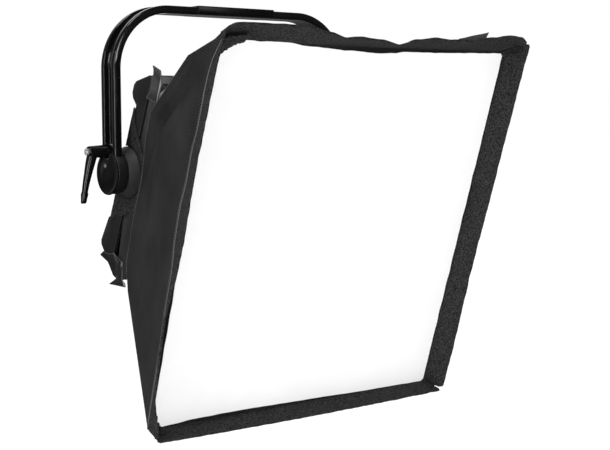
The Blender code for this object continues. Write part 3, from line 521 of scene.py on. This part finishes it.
def make_lever():
    """Barrel, tapered grip with a ridge along its face, and the screw in the barrel's mouth."""
    centre = Vector((0, 0, PIVOT.z + LEVER_HEIGHT))
    barrel = [(0.2541, 0.0108), (0.2552, 0.0117), (0.2568, 0.0121), (0.2640, 0.0120),
              (0.2720, 0.0114), (0.2820, 0.0107), (0.2920, 0.0101), (0.2965, 0.0096),
              (0.2982, 0.0088), (0.2986, 0.0078), (0.2984, 0.0068), (0.2960, 0.0064),
              (0.2870, 0.0064), (0.2870, 0.0035), (0.2541, 0.0035)]
    lever = put("lever_barrel", turned([(-x, r) for x, r in barrel], centre, 48, closed=True),
                PLASTIC, "clamp_lever", 50)
    # (down from the barrel's axis, out, half width, half depth)
    stops = [(0.004, 0.2895, 0.0082, 0.0078), (0.010, 0.2912, 0.0086, 0.0084),
             (0.022, 0.2945, 0.0080, 0.0074), (0.036, 0.2980, 0.0069, 0.0065),
             (0.050, 0.3015, 0.0060, 0.0059), (0.064, 0.3044, 0.0052, 0.0053),
             (0.070, 0.3056, 0.0050, 0.0051), (0.0735, 0.3060, 0.0062, 0.0056),
             (0.0765, 0.3064, 0.0058, 0.0053), (0.083, 0.3074, 0.0050, 0.0046),
             (0.0875, 0.3081, 0.0047, 0.0042), (0.0895, 0.3086, 0.0034, 0.0030)]
    rings = []
    sides = 24
    for down, out, half_x, half_y in stops:
        ring = []
        for k in range(sides):
            angle = 2 * math.pi * k / sides
            c, s = math.cos(angle), math.sin(angle)
            x = math.copysign(abs(c) ** 0.7, c) * half_x
            y = math.copysign(abs(s) ** 0.7, s) * half_y
            x -= 0.0009 * ridge(y, 0.0, half_y * 0.35) if c < 0 else 0.0
            ring.append((-out + x, y, centre.z - down))
        rings.append(ring)
    carve(lever, skin(rings), "UNION")
    carve(lever, turned([(-0.2870, 0.0064), (-0.3110, 0.0064)], centre, 48))
    lever.data.shade_smooth()
    lever.data.set_sharp_from_angle(angle=math.radians(48))
    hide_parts("lever_handle")
    head = [(0.2780, 0.0024), (0.2972, 0.0024), (0.2972, 0.0052), (0.2978, 0.0058), (0.3012, 0.0060),
            (0.3026, 0.0056), (0.3032, 0.0046)]
    screw = put("lever_screw_head", turned([(-x, r) for x, r in head], centre, 40), CHROME,
                "clamp_stud")
    hexagon = arc(0, centre.z, 0.0028, 0, 300, 5)
    carve(screw, skin([[(x, y, z) for y, z in hexagon] for x in (-0.3005, -0.31)]))
    soften(screw, 0.0003, 2)
    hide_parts("lever_screw")


# ---------------------------------------------------------------- fabric
def cloth_sheet(name, surface, steps_s, steps_t, material, thickness=FABRIC, flip=False,
                size=(1, 1), across=None):
    """An open grid surface(s, t), with UVs in metres, thickened away from its outer face.

    UVs run along the sheet's own size, or where across is 1 or 2 (x or up), along the beam
    and across it, so that the weave keeps one direction on a tapered cut.
    """
    bm = bmesh.new()
    layer = bm.loops.layers.uv.new("UVMap")
    grid = [[bm.verts.new(surface(i / steps_s, j / steps_t)) for j in range(steps_t + 1)]
            for i in range(steps_s + 1)]
    for i in range(steps_s):
        for j in range(steps_t):
            corners = [(i, j), (i + 1, j), (i + 1, j + 1), (i, j + 1)]
            if flip:
                corners.reverse()
            face = bm.faces.new([grid[a][b] for a, b in corners])
            for loop, (a, b) in zip(face.loops, corners):
                if across is None:
                    loop[layer].uv = (a / steps_s * size[0], b / steps_t * size[1])
                else:
                    local = FROM_SOFTBOX @ loop.vert.co
                    loop[layer].uv = (-local.y, local[across])
    obj = put(name, bm, material, "head", 60)
    modifier = obj.modifiers.new("thickness", "SOLIDIFY")
    modifier.thickness = thickness
    modifier.offset = -1.0
    bake(obj)
    obj.data.shade_smooth()
    obj.data.set_sharp_from_angle(angle=math.radians(60))
    return obj


def piping(name, points, radius, material, sides=8):
    """A thin round cord sewn along an edge."""
    rings = []
    bm = bmesh.new()
    layer = bm.loops.layers.uv.new("UVMap")
    for i, point in enumerate(points):
        before = points[max(i - 1, 0)]
        after = points[min(i + 1, len(points) - 1)]
        along = (after - before).normalized()
        side = along.cross(Vector((0.3, 0.8, 0.5))).normalized()
        other = side.cross(along)
        rings.append([point + (side * math.cos(2 * math.pi * k / sides)
                               + other * math.sin(2 * math.pi * k / sides)) * radius
                      for k in range(sides)])
    skin(rings, bm=bm)
    for face in bm.faces:
        for loop in face.loops:
            loop[layer].uv = (loop.vert.co.z, loop.vert.co.x)
    return put(name, bm, material, "head")


def stitches(name, line, outward, spacing=0.0042, length=0.0026, radius=0.00035):
    """A row of thread stitches along a line of points, standing out one way."""
    bm = bmesh.new()
    places = [0.0]
    for a, b in zip(line, line[1:]):
        places.append(places[-1] + (b - a).length)
    count = int(places[-1] / spacing)
    k = 0
    for n in range(count):
        start = (n + 0.5) * spacing
        while k < len(places) - 2 and places[k + 1] < start:
            k += 1
        along = (line[k + 1] - line[k]).normalized()
        centre = line[k].lerp(line[k + 1], (start - places[k]) / (places[k + 1] - places[k]))
        centre = centre + outward * radius * 0.9
        across = along.cross(outward).normalized()
        rings = []
        for place, size in ((-0.5, 0.45), (-0.3, 1.0), (0.3, 1.0), (0.5, 0.45)):
            middle = centre + along * length * place - outward * radius * (1 - size)
            rings.append([middle + across * radius * size * c + outward * radius * size * s
                          for c, s in ((1, 0), (0.5, 0.8), (-0.5, 0.8), (-1, 0), (0, -0.7))])
        skin(rings, bm=bm)
    layer = bm.loops.layers.uv.new("UVMap")
    for face in bm.faces:
        for loop in face.loops:
            loop[layer].uv = (loop.vert.co.z, loop.vert.co.x + loop.vert.co.y)
    return put(name, bm, THREAD, "head")


# How far the seam between a side's twill and its loop tape lies behind the cloth's edge,
# from the bottom corner up.
SEAM_BACK = ((0.0, 0.002), (0.20, 0.003), (0.33, 0.009), (0.42, 0.008), (0.52, 0.016), (0.58, 0.017),
             (0.66, 0.010), (0.72, 0.009), (0.80, 0.000), (0.88, -0.003), (0.95, -0.009), (1.0, -0.004))


def side_rear(t):
    """A side panel's rear edge, from its low corner up."""
    return corner_line((LOW_CORNER, HEM_BOTTOM, HEM_TOP, TOP_KINK), (0.0, 0.12, 0.70, 1.0), t)


def side_point(s, t):
    """A point on a side panel before folds: s runs from the hem to the cloth, t up."""
    rear = side_rear(t)
    front = (CLOTH_HALF_WIDTH, CLOTH_DISTANCE, mix(-CLOTH_HALF_HEIGHT, CLOTH_HALF_HEIGHT, t))
    x, along, up = (mix(a, b, s) for a, b in zip(rear, front))
    x += PANEL_BULGE * math.sin(math.pi * min(s, 1.0)) * math.sin(math.pi * t)
    return x, along, up


# The long valley fold of a side panel, from the hem up to the front corner: (s, t).
FOLD_LINE = ((0.0, 0.43), (0.06, 0.49), (0.14, 0.59), (0.26, 0.73), (0.34, 0.80), (0.42, 0.87),
             (0.66, 0.93), (1.0, 0.98))


def side_fold(side, s, t):
    """How far folds push a side panel outward."""
    fade = math.sin(math.pi * min(max(s, 0.0), 1.0)) ** 0.5 * math.sin(math.pi * t) ** 0.5
    line = 0.40 - 0.22 * t
    low = ridge(t, 0.30, 0.30)
    crease = (-0.0065 * ridge(s, line, 0.085) + 0.0040 * ridge(s, line - 0.20, 0.09)) * low
    valley = stations(FOLD_LINE, s)
    facet = -0.0160 * ridge(t, valley, 0.10) + 0.0030 * ridge(t, valley + 0.14, 0.06)
    tuck = 0.0030 * ridge(t, valley - 0.14, 0.07)
    waves = 0.0018 * ripple(3.0 * s + side, 5.0 * t) + 0.0007 * ripple(9.0 * s, 16.0 * t, side)
    return (crease + facet + tuck + waves) * fade


def seam_share(side, t):
    """Where the seam lies on the line from hem to cloth edge; on the left it ends in the tip."""
    back = stations(SEAM_BACK, t) - (0.034 * ridge(t, 1.0, 0.035) if side < 0 else 0.0)
    return 1.0 - back / (CLOTH_DISTANCE - side_rear(t)[1])


def side_surface(side, s, t, lift=0.0):
    """A point on a folded side panel, lifted off it."""
    x, along, up = side_point(s, t)
    return in_softbox(side * (x + side_fold(side, s, t) + lift), along, up)


def make_side(name, side):
    """A side's fabric panel, with its seam cord and stitches."""
    def surface(s, t):
        return side_surface(side, s * seam_share(side, t), t)

    panel = cloth_sheet("side_" + name, surface, 72, 140, TWILL, flip=side > 0, across=2)
    rows = 160
    seam = [side_surface(side, seam_share(side, j / rows), j / rows,
                         0.0004 + 0.0012 * ridge(j / rows, 1.0, 0.07)) for j in range(rows + 1)]
    cord = piping("seam_" + name, seam, SEAM_CORD_RADIUS, PIPING)
    inner = [side_surface(side, seam_share(side, j / rows) - 0.018, j / rows, 0.0002)
             for j in range(2, rows - 1)]

    outward = Vector((side, 0.0, 0.0))
    row = stitches("seam_stitches_" + name, inner, outward)
    hem_line = [side_surface(side, 0.018, j / rows, 0.0002) for j in range(6, rows - 4)]
    hem = stitches("hem_stitches_" + name, hem_line, outward)
    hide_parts("panel_" + name)


def cross_point(level, s, t):
    """A point on the top or bottom panel: s from the hem to the cloth, t from left to right."""
    kink = TOP_KINK if level > 0 else LOW_CORNER
    hem = ROOF_HEM if level > 0 else FLOOR_HEM
    cloth = (CLOTH_HALF_WIDTH, CLOTH_DISTANCE, level * CLOTH_HALF_HEIGHT)

    def mirror(point):
        return (-point[0], point[1], point[2])

    rear = corner_line((mirror(kink), mirror(hem), hem, kink), (0.0, 0.15, 0.85, 1.0), t)
    front = corner_line((mirror(cloth), cloth), (0.0, 1.0), t)
    x, along, up = (mix(a, b, s) for a, b in zip(rear, front))
    x *= 1.0 - 0.0020 / abs(kink[0])
    up += level * PANEL_BULGE * math.sin(math.pi * s) * math.sin(math.pi * t)
    fade = math.sin(math.pi * s) ** 0.5 * math.sin(math.pi * t) ** 0.5
    folds = 0.0016 * ripple(2.5 * s, 7.0 * t, level) - 0.0018 * ridge(t, 0.13, 0.03)
    folds -= 0.0018 * ridge(t, 0.87, 0.03)
    up += level * folds * fade
    return in_softbox(x, along, up)


def make_cross(name, level):
    """The top or bottom fabric panel."""
    panel = cloth_sheet("side_" + name, lambda s, t: cross_point(level, s, t), 64, 128, TWILL,
                        flip=level < 0, across=0)
    rows = 150
    row = stitches("seam_stitches_" + name,
                   [cross_point(level, 0.975, j / rows) for j in range(2, rows - 1)],
                   Vector((0.0, 0.0, level)))
    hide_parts("panel_" + name)


# Where each lip's free edge strays from a straight line, in metres, along its length.
TOP_EDGE_RISE = ((0.0, 0.006), (0.04, 0.008), (0.11, 0.008), (0.18, 0.008), (0.24, 0.005),
                 (0.30, -0.001), (0.35, -0.008), (0.39, -0.006), (0.47, -0.009), (0.53, -0.016),
                 (0.59, -0.006), (0.65, -0.002), (0.70, -0.004), (0.77, -0.003), (0.86, 0.003),
                 (0.93, 0.008), (0.97, 0.006), (1.0, -0.003))
LEFT_EDGE_OUT = ((0.0, 0.000), (0.12, 0.011), (0.28, 0.010), (0.50, 0.000), (0.75, 0.002),
                 (0.95, 0.004), (1.0, 0.004))
RIGHT_EDGE_OUT = ((0.0, 0.000), (0.15, 0.002), (0.35, -0.003), (0.60, 0.001), (0.90, 0.002),
                  (1.0, 0.004))


def lip_reach(t, share=0.010, least=0.80):
    """How far the free edge reaches near a lip's ends, which are cut round."""
    end = min(t, 1.0 - t) / share
    if end >= 1.0:
        return 1.0
    return least + (1.0 - least) * math.sqrt(1.0 - (1.0 - end) ** 2)


def lip_upright(side, s, t):
    """Left or right lip: s from the seam to the free edge, t up."""
    start_s = seam_share(side, t)
    x0, along0, up0 = side_point(start_s, t)
    x0 += side_fold(side, start_s, t)
    bow = 0.009 * math.sin(math.pi * t)
    stray = stations(LEFT_EDGE_OUT if side < 0 else RIGHT_EDGE_OUT, t)
    x1 = LIP_HALF_WIDTH + bow + stray
    along1 = LIP_DISTANCE - bow - stray * 0.4 + 0.0012 * ripple(0.0, 22.0 * t, side)
    along1 += 0.0008 * ripple(3.0, 60.0 * t, side)
    up1 = mix(LIP_BOTTOM + 0.006, LIP_TOP - 0.003, t)
    s *= lip_reach(t)
    x = mix(x0, x1, s) + 0.0012 * math.sin(math.pi * s) * ripple(2.0 * s, 14.0 * t, side * 3.0)
    x += 0.0010 * s * ripple(5.0, 40.0 * t, side)
    return in_softbox(side * x, mix(along0, along1, s), mix(up0, up1, s))


def lip_level(level, s, t):
    """Top or bottom lip: s from the cloth's edge to the free edge, t from left to right."""
    x0 = mix(-CLOTH_HALF_WIDTH, CLOTH_HALF_WIDTH, t) * 0.990
    x1 = mix(-LIP_HALF_WIDTH, LIP_HALF_WIDTH, t) * 0.988
    if level > 0:
        up1 = LIP_TOP + stations(TOP_EDGE_RISE, t)
    else:
        up1 = LIP_BOTTOM + 0.0015 - 0.0030 * math.sin(math.pi * t)
    up0 = level * CLOTH_HALF_HEIGHT
    s *= lip_reach(t, 0.018, 0.45) if level > 0 and t < 0.5 else lip_reach(t, 0.005, 0.90)
    x = mix(x0, x1, s)
    up = mix(up0, up1, s) + level * 0.0014 * math.sin(math.pi * s) * ripple(12.0 * t, s, level)
    up += 0.0008 * s * ripple(36.0 * t, 3.0, level)
    along = mix(CLOTH_DISTANCE - 0.002, LIP_DISTANCE, s) + 0.0010 * s * ripple(20.0 * t, 8.0, level)
    along += 0.0007 * s * ripple(60.0 * t, 5.0, level)
    return in_softbox(x, along, up)


def make_corner_gather(code, side, level, reach_x, reach_up, crumple, share):
    """Bunched tape in a corner, from the cloth out to a share of the way to the lips' edges."""
    def surface(s, t):
        s *= share
        power = mix(1.3, 3.2, s)
        x = mix(CLOTH_HALF_WIDTH - 0.003, 0.3135, s) - reach_x * (1 - t) ** power
        tip = CLOTH_HALF_HEIGHT + 0.020 if level > 0 else -LIP_BOTTOM - 0.006
        up = mix(CLOTH_HALF_HEIGHT - 0.002, tip, s) - reach_up * t ** power
        along = mix(CLOTH_DISTANCE + 0.0035, LIP_DISTANCE - 0.006, s)
        fade = math.sin(math.pi * t) ** 0.4 * mix(0.5, 1.0, math.sin(math.pi * s))
        fold = crumple * (ripple(9.0 * t + side, 1.6 * s, level) + 0.6 * ripple(23.0 * t, 5.0 * s, side))
        x -= fold * fade
        up -= fold * fade * 0.8
        along += fold * 0.8 * math.sin(math.pi * s)
        return in_softbox(side * x, along, level * up)

    gather = cloth_sheet("corner_gather_" + code, surface, 26, 60, LOOP, THIN_TAPE,
                         flip=side * level > 0, size=(0.045, 0.07))


def make_lip(name, surface, flip, flat):
    """One side's loop tape, with a rolled free edge."""
    lip = cloth_sheet("lip_tape_" + name, surface, 12, 220, LOOP, LIP_TAPE, flip=flip,
                      size=(TAPE_WIDTH, flat[1]))
    edge = piping("lip_edge_" + name, [surface(0.995, j / 200) for j in range(201)],
                  LIP_EDGE_RADIUS, LOOP)
    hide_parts("lip_" + name)


def make_lips():
    for name, side in (("left", -1), ("right", 1)):
        make_lip(name, lambda s, t: lip_upright(side, s, t), side > 0, LIP_UPRIGHT_FLAT)
    for name, level in (("top", 1), ("bottom", -1)):
        make_lip(name, lambda s, t: lip_level(level, s, t), level < 0, LIP_LEVEL_FLAT)


# How far the cloth's bottom edge rises and its top edge hangs, from left to right.
CLOTH_BOTTOM_RISE = ((0.0, 0.0), (0.06, 0.0020), (0.14, 0.0060), (0.30, 0.0065), (0.50, 0.0040),
                     (0.80, 0.0010), (1.0, 0.0))
CLOTH_TOP_SAG = ((0.0, -0.0020), (0.08, -0.0060), (0.20, -0.0050), (0.30, 0.0010), (0.42, 0.0050),
                 (0.53, 0.0080), (0.63, 0.0040), (0.75, 0.0035), (0.90, 0.0015), (1.0, 0.0))


def make_front_cloth():
    """White cloth set back in the lips, pulled at its edges and hanging a little at the top."""
    half_x = CLOTH_HALF_WIDTH - 0.0042
    half_z = CLOTH_HALF_HEIGHT - 0.0026

    def surface(s, t):
        belly = 0.002 * math.sin(math.pi * s) * math.sin(math.pi * t)
        near_edge = 1.0 - min(1.0, 6.0 * min(s, 1 - s, t, 1 - t))
        pull = 0.0012 * near_edge * (ripple(24.0 * s, 3.0) * ridge(t, round(t), 0.1)
                                     + ripple(24.0 * t, 7.0) * ridge(s, round(s), 0.1))
        wave = 0.0009 * ripple(3.0 * s + t, 4.0 * t)
        wave += 0.0040 * ridge(s, 0.12, 0.10) * ridge(t, 1.0, 0.06)
        scallop = stations(CLOTH_TOP_SAG, s) + 0.0022 * max(0.0, ripple(28.0 * s, 11.0))
        up = mix(-half_z, half_z, t) - scallop * ridge(t, 1.0, 0.04)
        up += stations(CLOTH_BOTTOM_RISE, s) * ridge(t, 0.0, 0.04)
        return in_softbox(mix(-half_x, half_x, s), CLOTH_DISTANCE + 0.003 + belly + pull + wave, up)

    cloth = cloth_sheet("front_cloth", surface, 110, 120, CLOTH, WHITE_CLOTH, size=CLOTH_FLAT)
    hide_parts("front_diffuser")


def make_flap(name):
    """Felt flap round the boss, remeshed from its CAD outline and worked soft."""
    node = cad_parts["side_flap_" + name]
    bm = bmesh.new()
    bm.from_mesh(node.data)
    bmesh.ops.remove_doubles(bm, verts=bm.verts, dist=0.00001)
    flap = put("flap_" + name, bm, FLAP_FELT, "head", 70)
    modifier = flap.modifiers.new("remesh", "REMESH")
    modifier.mode = "VOXEL"
    modifier.voxel_size = 0.0010
    bake(flap)
    modifier = flap.modifiers.new("relax", "SMOOTH")
    modifier.iterations = 3
    modifier.factor = 0.5
    bake(flap)
    for vertex in flap.data.vertices:
        vertex.co.x += 0.0004 * ripple(vertex.co.y * 60, vertex.co.z * 60)
    flap.data.materials.clear()
    flap.data.materials.append(FLAP_FELT)
    flap.data.shade_smooth()
    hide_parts("side_flap_" + name)


def make_pull_tab():
    """Folded webbing tab behind the top lip."""
    def surface(s, t):
        low = mix(0.3228, 0.3235, t)
        high = mix(0.3425, 0.3562, t)
        x = mix(0.205, mix(0.262, 0.2732, s), t)
        return in_softbox(x, 0.3048 + 0.0006 * math.sin(3 * math.pi * t), mix(low, high, s))

    tab = cloth_sheet("tab", surface, 10, 30, WEBBING, THIN_TAPE, size=TAB_FLAT)
    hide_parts("pull_tab")


# ---------------------------------------------------------------- carried-over CAD nodes
def dress_cad_nodes():
    """Better materials, welded seams and softened edges on the nodes that stay."""
    finishes = {
        "top_sleeve": (SLEEVE_PAINT, 0.0006), "hub_drum_left": (DRUM_GREY, 0.0006),
        "hub_drum_right": (DRUM_GREY, 0.0006), "tilt_axle_left": (STEEL, 0.0002),
        "tilt_axle_right": (STEEL, 0.0002), "friction_washer_left": (STEEL, 0.0002),
        "friction_washer_right": (STEEL, 0.0002), "lever_collar": (STEEL, 0.0003),
        "lever_insert": (STEEL, 0.0002), "rear_housing": (HOUSING, 0.0020),
        "light_box": (HOUSING, 0.0006), "side_plate_left": (PLATE, 0.0006),
        "side_plate_right": (PLATE, 0.0006), "front_frame": (FRAME, 0.0010),
        "tilt_boss_left": (CAST_GREY, 0.0008), "tilt_boss_right": (CAST_GREY, 0.0008),
        "heat_sink": (HOUSING, 0.0005), "led_board": (BOARD, 0.0002),
        "opal_panel": (OPAL, 0.0004), "control_panel": (HOUSING, 0.0010),
        "display_window": (GLASS, 0.0003), "power_inlet": (PLASTIC, 0.0005),
        "data_port_in": (STEEL, 0.0003), "data_port_out": (STEEL, 0.0003),
        "corner_clip_left": (STEEL, 0.0002), "corner_clip_right": (STEEL, 0.0002),
        "menu_knob": (PLASTIC, 0.0005), "dimmer_knob": (PLASTIC, 0.0005),
        "button_1": (PLASTIC, 0.0004), "button_2": (PLASTIC, 0.0004), "button_3": (PLASTIC, 0.0004),
    }
    for code in ("tl", "tr", "bl", "br"):
        # The lower brackets take the darker copy of the bracket grey, as painted shade.
        bracket = BRACKET if code[0] == "t" else LOW_BRACKET_SHADED
        finishes["corner_bracket_" + code] = (bracket, 0.0004)
        finishes["corner_rod_" + code] = (ROD, 0.0)
    for name, (material, width) in finishes.items():
        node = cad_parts[name]
        node.data.materials.clear()
        node.data.materials.append(material)
        weld = node.modifiers.new("weld", "WELD")
        weld.merge_threshold = 0.00001
        if width:
            soften(node, width, 2, 32)
        node.data.shade_smooth()


# ---------------------------------------------------------------- stage, light and camera
FLOOR_DROP = 0.35                 # how far the floor lies below the object
BACKDROP = (0.611, 0.791, 0.0)    # the direction in which the bright backdrop stands
CAMERA_PLACE = (-1.33276, -1.95455, -0.1916)
CAMERA_LENS = 74.146


def area_light(name, location, target, size, power):
    light = bpy.data.lights.new(name, "AREA")
    light.shape = "RECTANGLE"
    light.size, light.size_y = size
    light.energy = power
    obj = bpy.data.objects.new(name, light)
    obj.location = location
    obj.rotation_euler = (Vector(target) - Vector(location)).to_track_quat("-Z", "Y").to_euler()
    bpy.context.scene.collection.objects.link(obj)


def sun_light(name, direction, strength, angle):
    light = bpy.data.lights.new(name, "SUN")
    light.energy = strength
    light.angle = math.radians(angle)
    obj = bpy.data.objects.new(name, light)
    obj.rotation_euler = Vector(direction).to_track_quat("-Z", "Y").to_euler()
    bpy.context.scene.collection.objects.link(obj)


def make_floor():
    """A pale floor a little below the object, lit so that it stays white."""
    material, tree, shader = shader_of("pale_floor")
    place = add(tree, "ShaderNodeTexCoord").outputs["Object"]
    speck = add(tree, "ShaderNodeTexNoise", {"Vector": place, "Scale": 3.0, "Detail": 4.0})
    colour = two_tone(tree, speck.outputs["Fac"], (0.93, 0.93, 0.93), (0.95, 0.95, 0.95))
    tree.links.new(colour, shader.inputs["Base Color"])
    shader.inputs["Roughness"].default_value = 0.9
    shader.inputs["Specular IOR Level"].default_value = 0.1
    shader.inputs["Emission Color"].default_value = (1.0, 1.0, 1.0, 1.0)
    shader.inputs["Emission Strength"].default_value = 0.24
    bm = bmesh.new()
    bmesh.ops.create_grid(bm, x_segments=8, y_segments=8, size=40.0)
    mesh = bpy.data.meshes.new("floor")
    bm.to_mesh(mesh)
    bm.free()
    mesh.materials.append(material)
    floor = bpy.data.objects.new("floor", mesh)
    floor.location.z = CAD_BOX[0][2] - FLOOR_DROP
    floor.visible_glossy = False
    bpy.context.scene.collection.objects.link(floor)


def make_world():
    """White to the camera. Reflections see a bright backdrop behind the object and a dim room."""
    world = bpy.data.worlds.new("studio")
    world.use_nodes = True
    sky = world.node_tree.nodes["Background"]
    sky.inputs["Color"].default_value = (1.0, 1.0, 1.0, 1.0)
    tree = world.node_tree
    rays = add(tree, "ShaderNodeLightPath")
    direction = add(tree, "ShaderNodeTexCoord").outputs["Generated"]
    facing = add(tree, "ShaderNodeVectorMath", {0: direction, 1: BACKDROP},
                 operation="DOT_PRODUCT")
    height = add(tree, "ShaderNodeSeparateXYZ", {0: direction}).outputs["Z"]
    above = add(tree, "ShaderNodeMapRange", {"Value": height, "From Min": -0.05, "From Max": 0.0,
                                             "To Min": 0.10, "To Max": 1.0})
    behind = add(tree, "ShaderNodeMapRange", {"Value": facing.outputs["Value"], "From Min": 0.50,
                                              "From Max": 0.80, "To Min": 0.07, "To Max": 1.0})
    mirrored = add(tree, "ShaderNodeMath", {0: above.outputs["Result"], 1: behind.outputs["Result"]},
                   operation="MULTIPLY")
    share = add(tree, "ShaderNodeMix", {0: rays.outputs["Is Glossy Ray"], 2: 0.45,
                                        3: mirrored.outputs["Value"]}, data_type="FLOAT")
    strength = add(tree, "ShaderNodeMix", {0: rays.outputs["Is Camera Ray"],
                                           2: share.outputs[0], 3: 1.0}, data_type="FLOAT")
    tree.links.new(strength.outputs[0], sky.inputs["Strength"])
    bpy.context.scene.world = world
    bpy.context.scene.view_settings.view_transform = "Standard"


def make_lights():
    sun_light("top", direction=(0.25, 0.30, -1.0), strength=1.3, angle=25)
    sun_light("front", direction=(-0.10, 1.0, 0.10), strength=2.2, angle=40)
    area_light("side", location=(-2.4, -0.9, -0.1), target=(-0.2, 0, -0.1), size=(0.25, 2.2),
               power=30)


def make_camera():
    """The photo's viewpoint, worked out from the object's proportions in it."""
    turn, dip, roll = math.radians(37.678), math.radians(5.137), math.radians(-0.136)
    back = Vector((-math.sin(turn) * math.cos(dip), -math.cos(turn) * math.cos(dip), math.sin(dip)))
    right = Vector((math.cos(turn), -math.sin(turn), 0.0))
    up = right.cross(-back)
    across = right * math.cos(roll) + up * math.sin(roll)
    upward = up * math.cos(roll) - right * math.sin(roll)
    camera = bpy.data.cameras.new("camera")
    camera.sensor_width = 36.0
    camera.lens = CAMERA_LENS
    obj = bpy.data.objects.new("camera", camera)
    axes = Matrix((across, upward, back)).transposed().to_4x4()
    obj.matrix_world = Matrix.Translation(CAMERA_PLACE) @ axes
    bpy.context.scene.collection.objects.link(obj)
    bpy.context.scene.camera = obj


dress_cad_nodes()
make_yoke()
make_hub_cap("left", -1)
make_hub_cap("right", 1)
make_lever()
make_side("left", -1)
make_side("right", 1)
make_cross("top", 1)
make_cross("bottom", -1)
make_lips()
make_corner_gather("tl", -1, 1, reach_x=0.050, reach_up=0.032, crumple=0.0035, share=0.85)
make_corner_gather("tr", 1, 1, reach_x=0.009, reach_up=0.009, crumple=0.002, share=0.9)
make_corner_gather("bl", -1, -1, reach_x=0.024, reach_up=0.034, crumple=0.006, share=0.6)
make_corner_gather("br", 1, -1, reach_x=0.009, reach_up=0.009, crumple=0.002, share=0.75)
make_front_cloth()
make_flap("left")
make_flap("right")
make_pull_tab()
make_floor()
make_world()
make_lights()
make_camera()
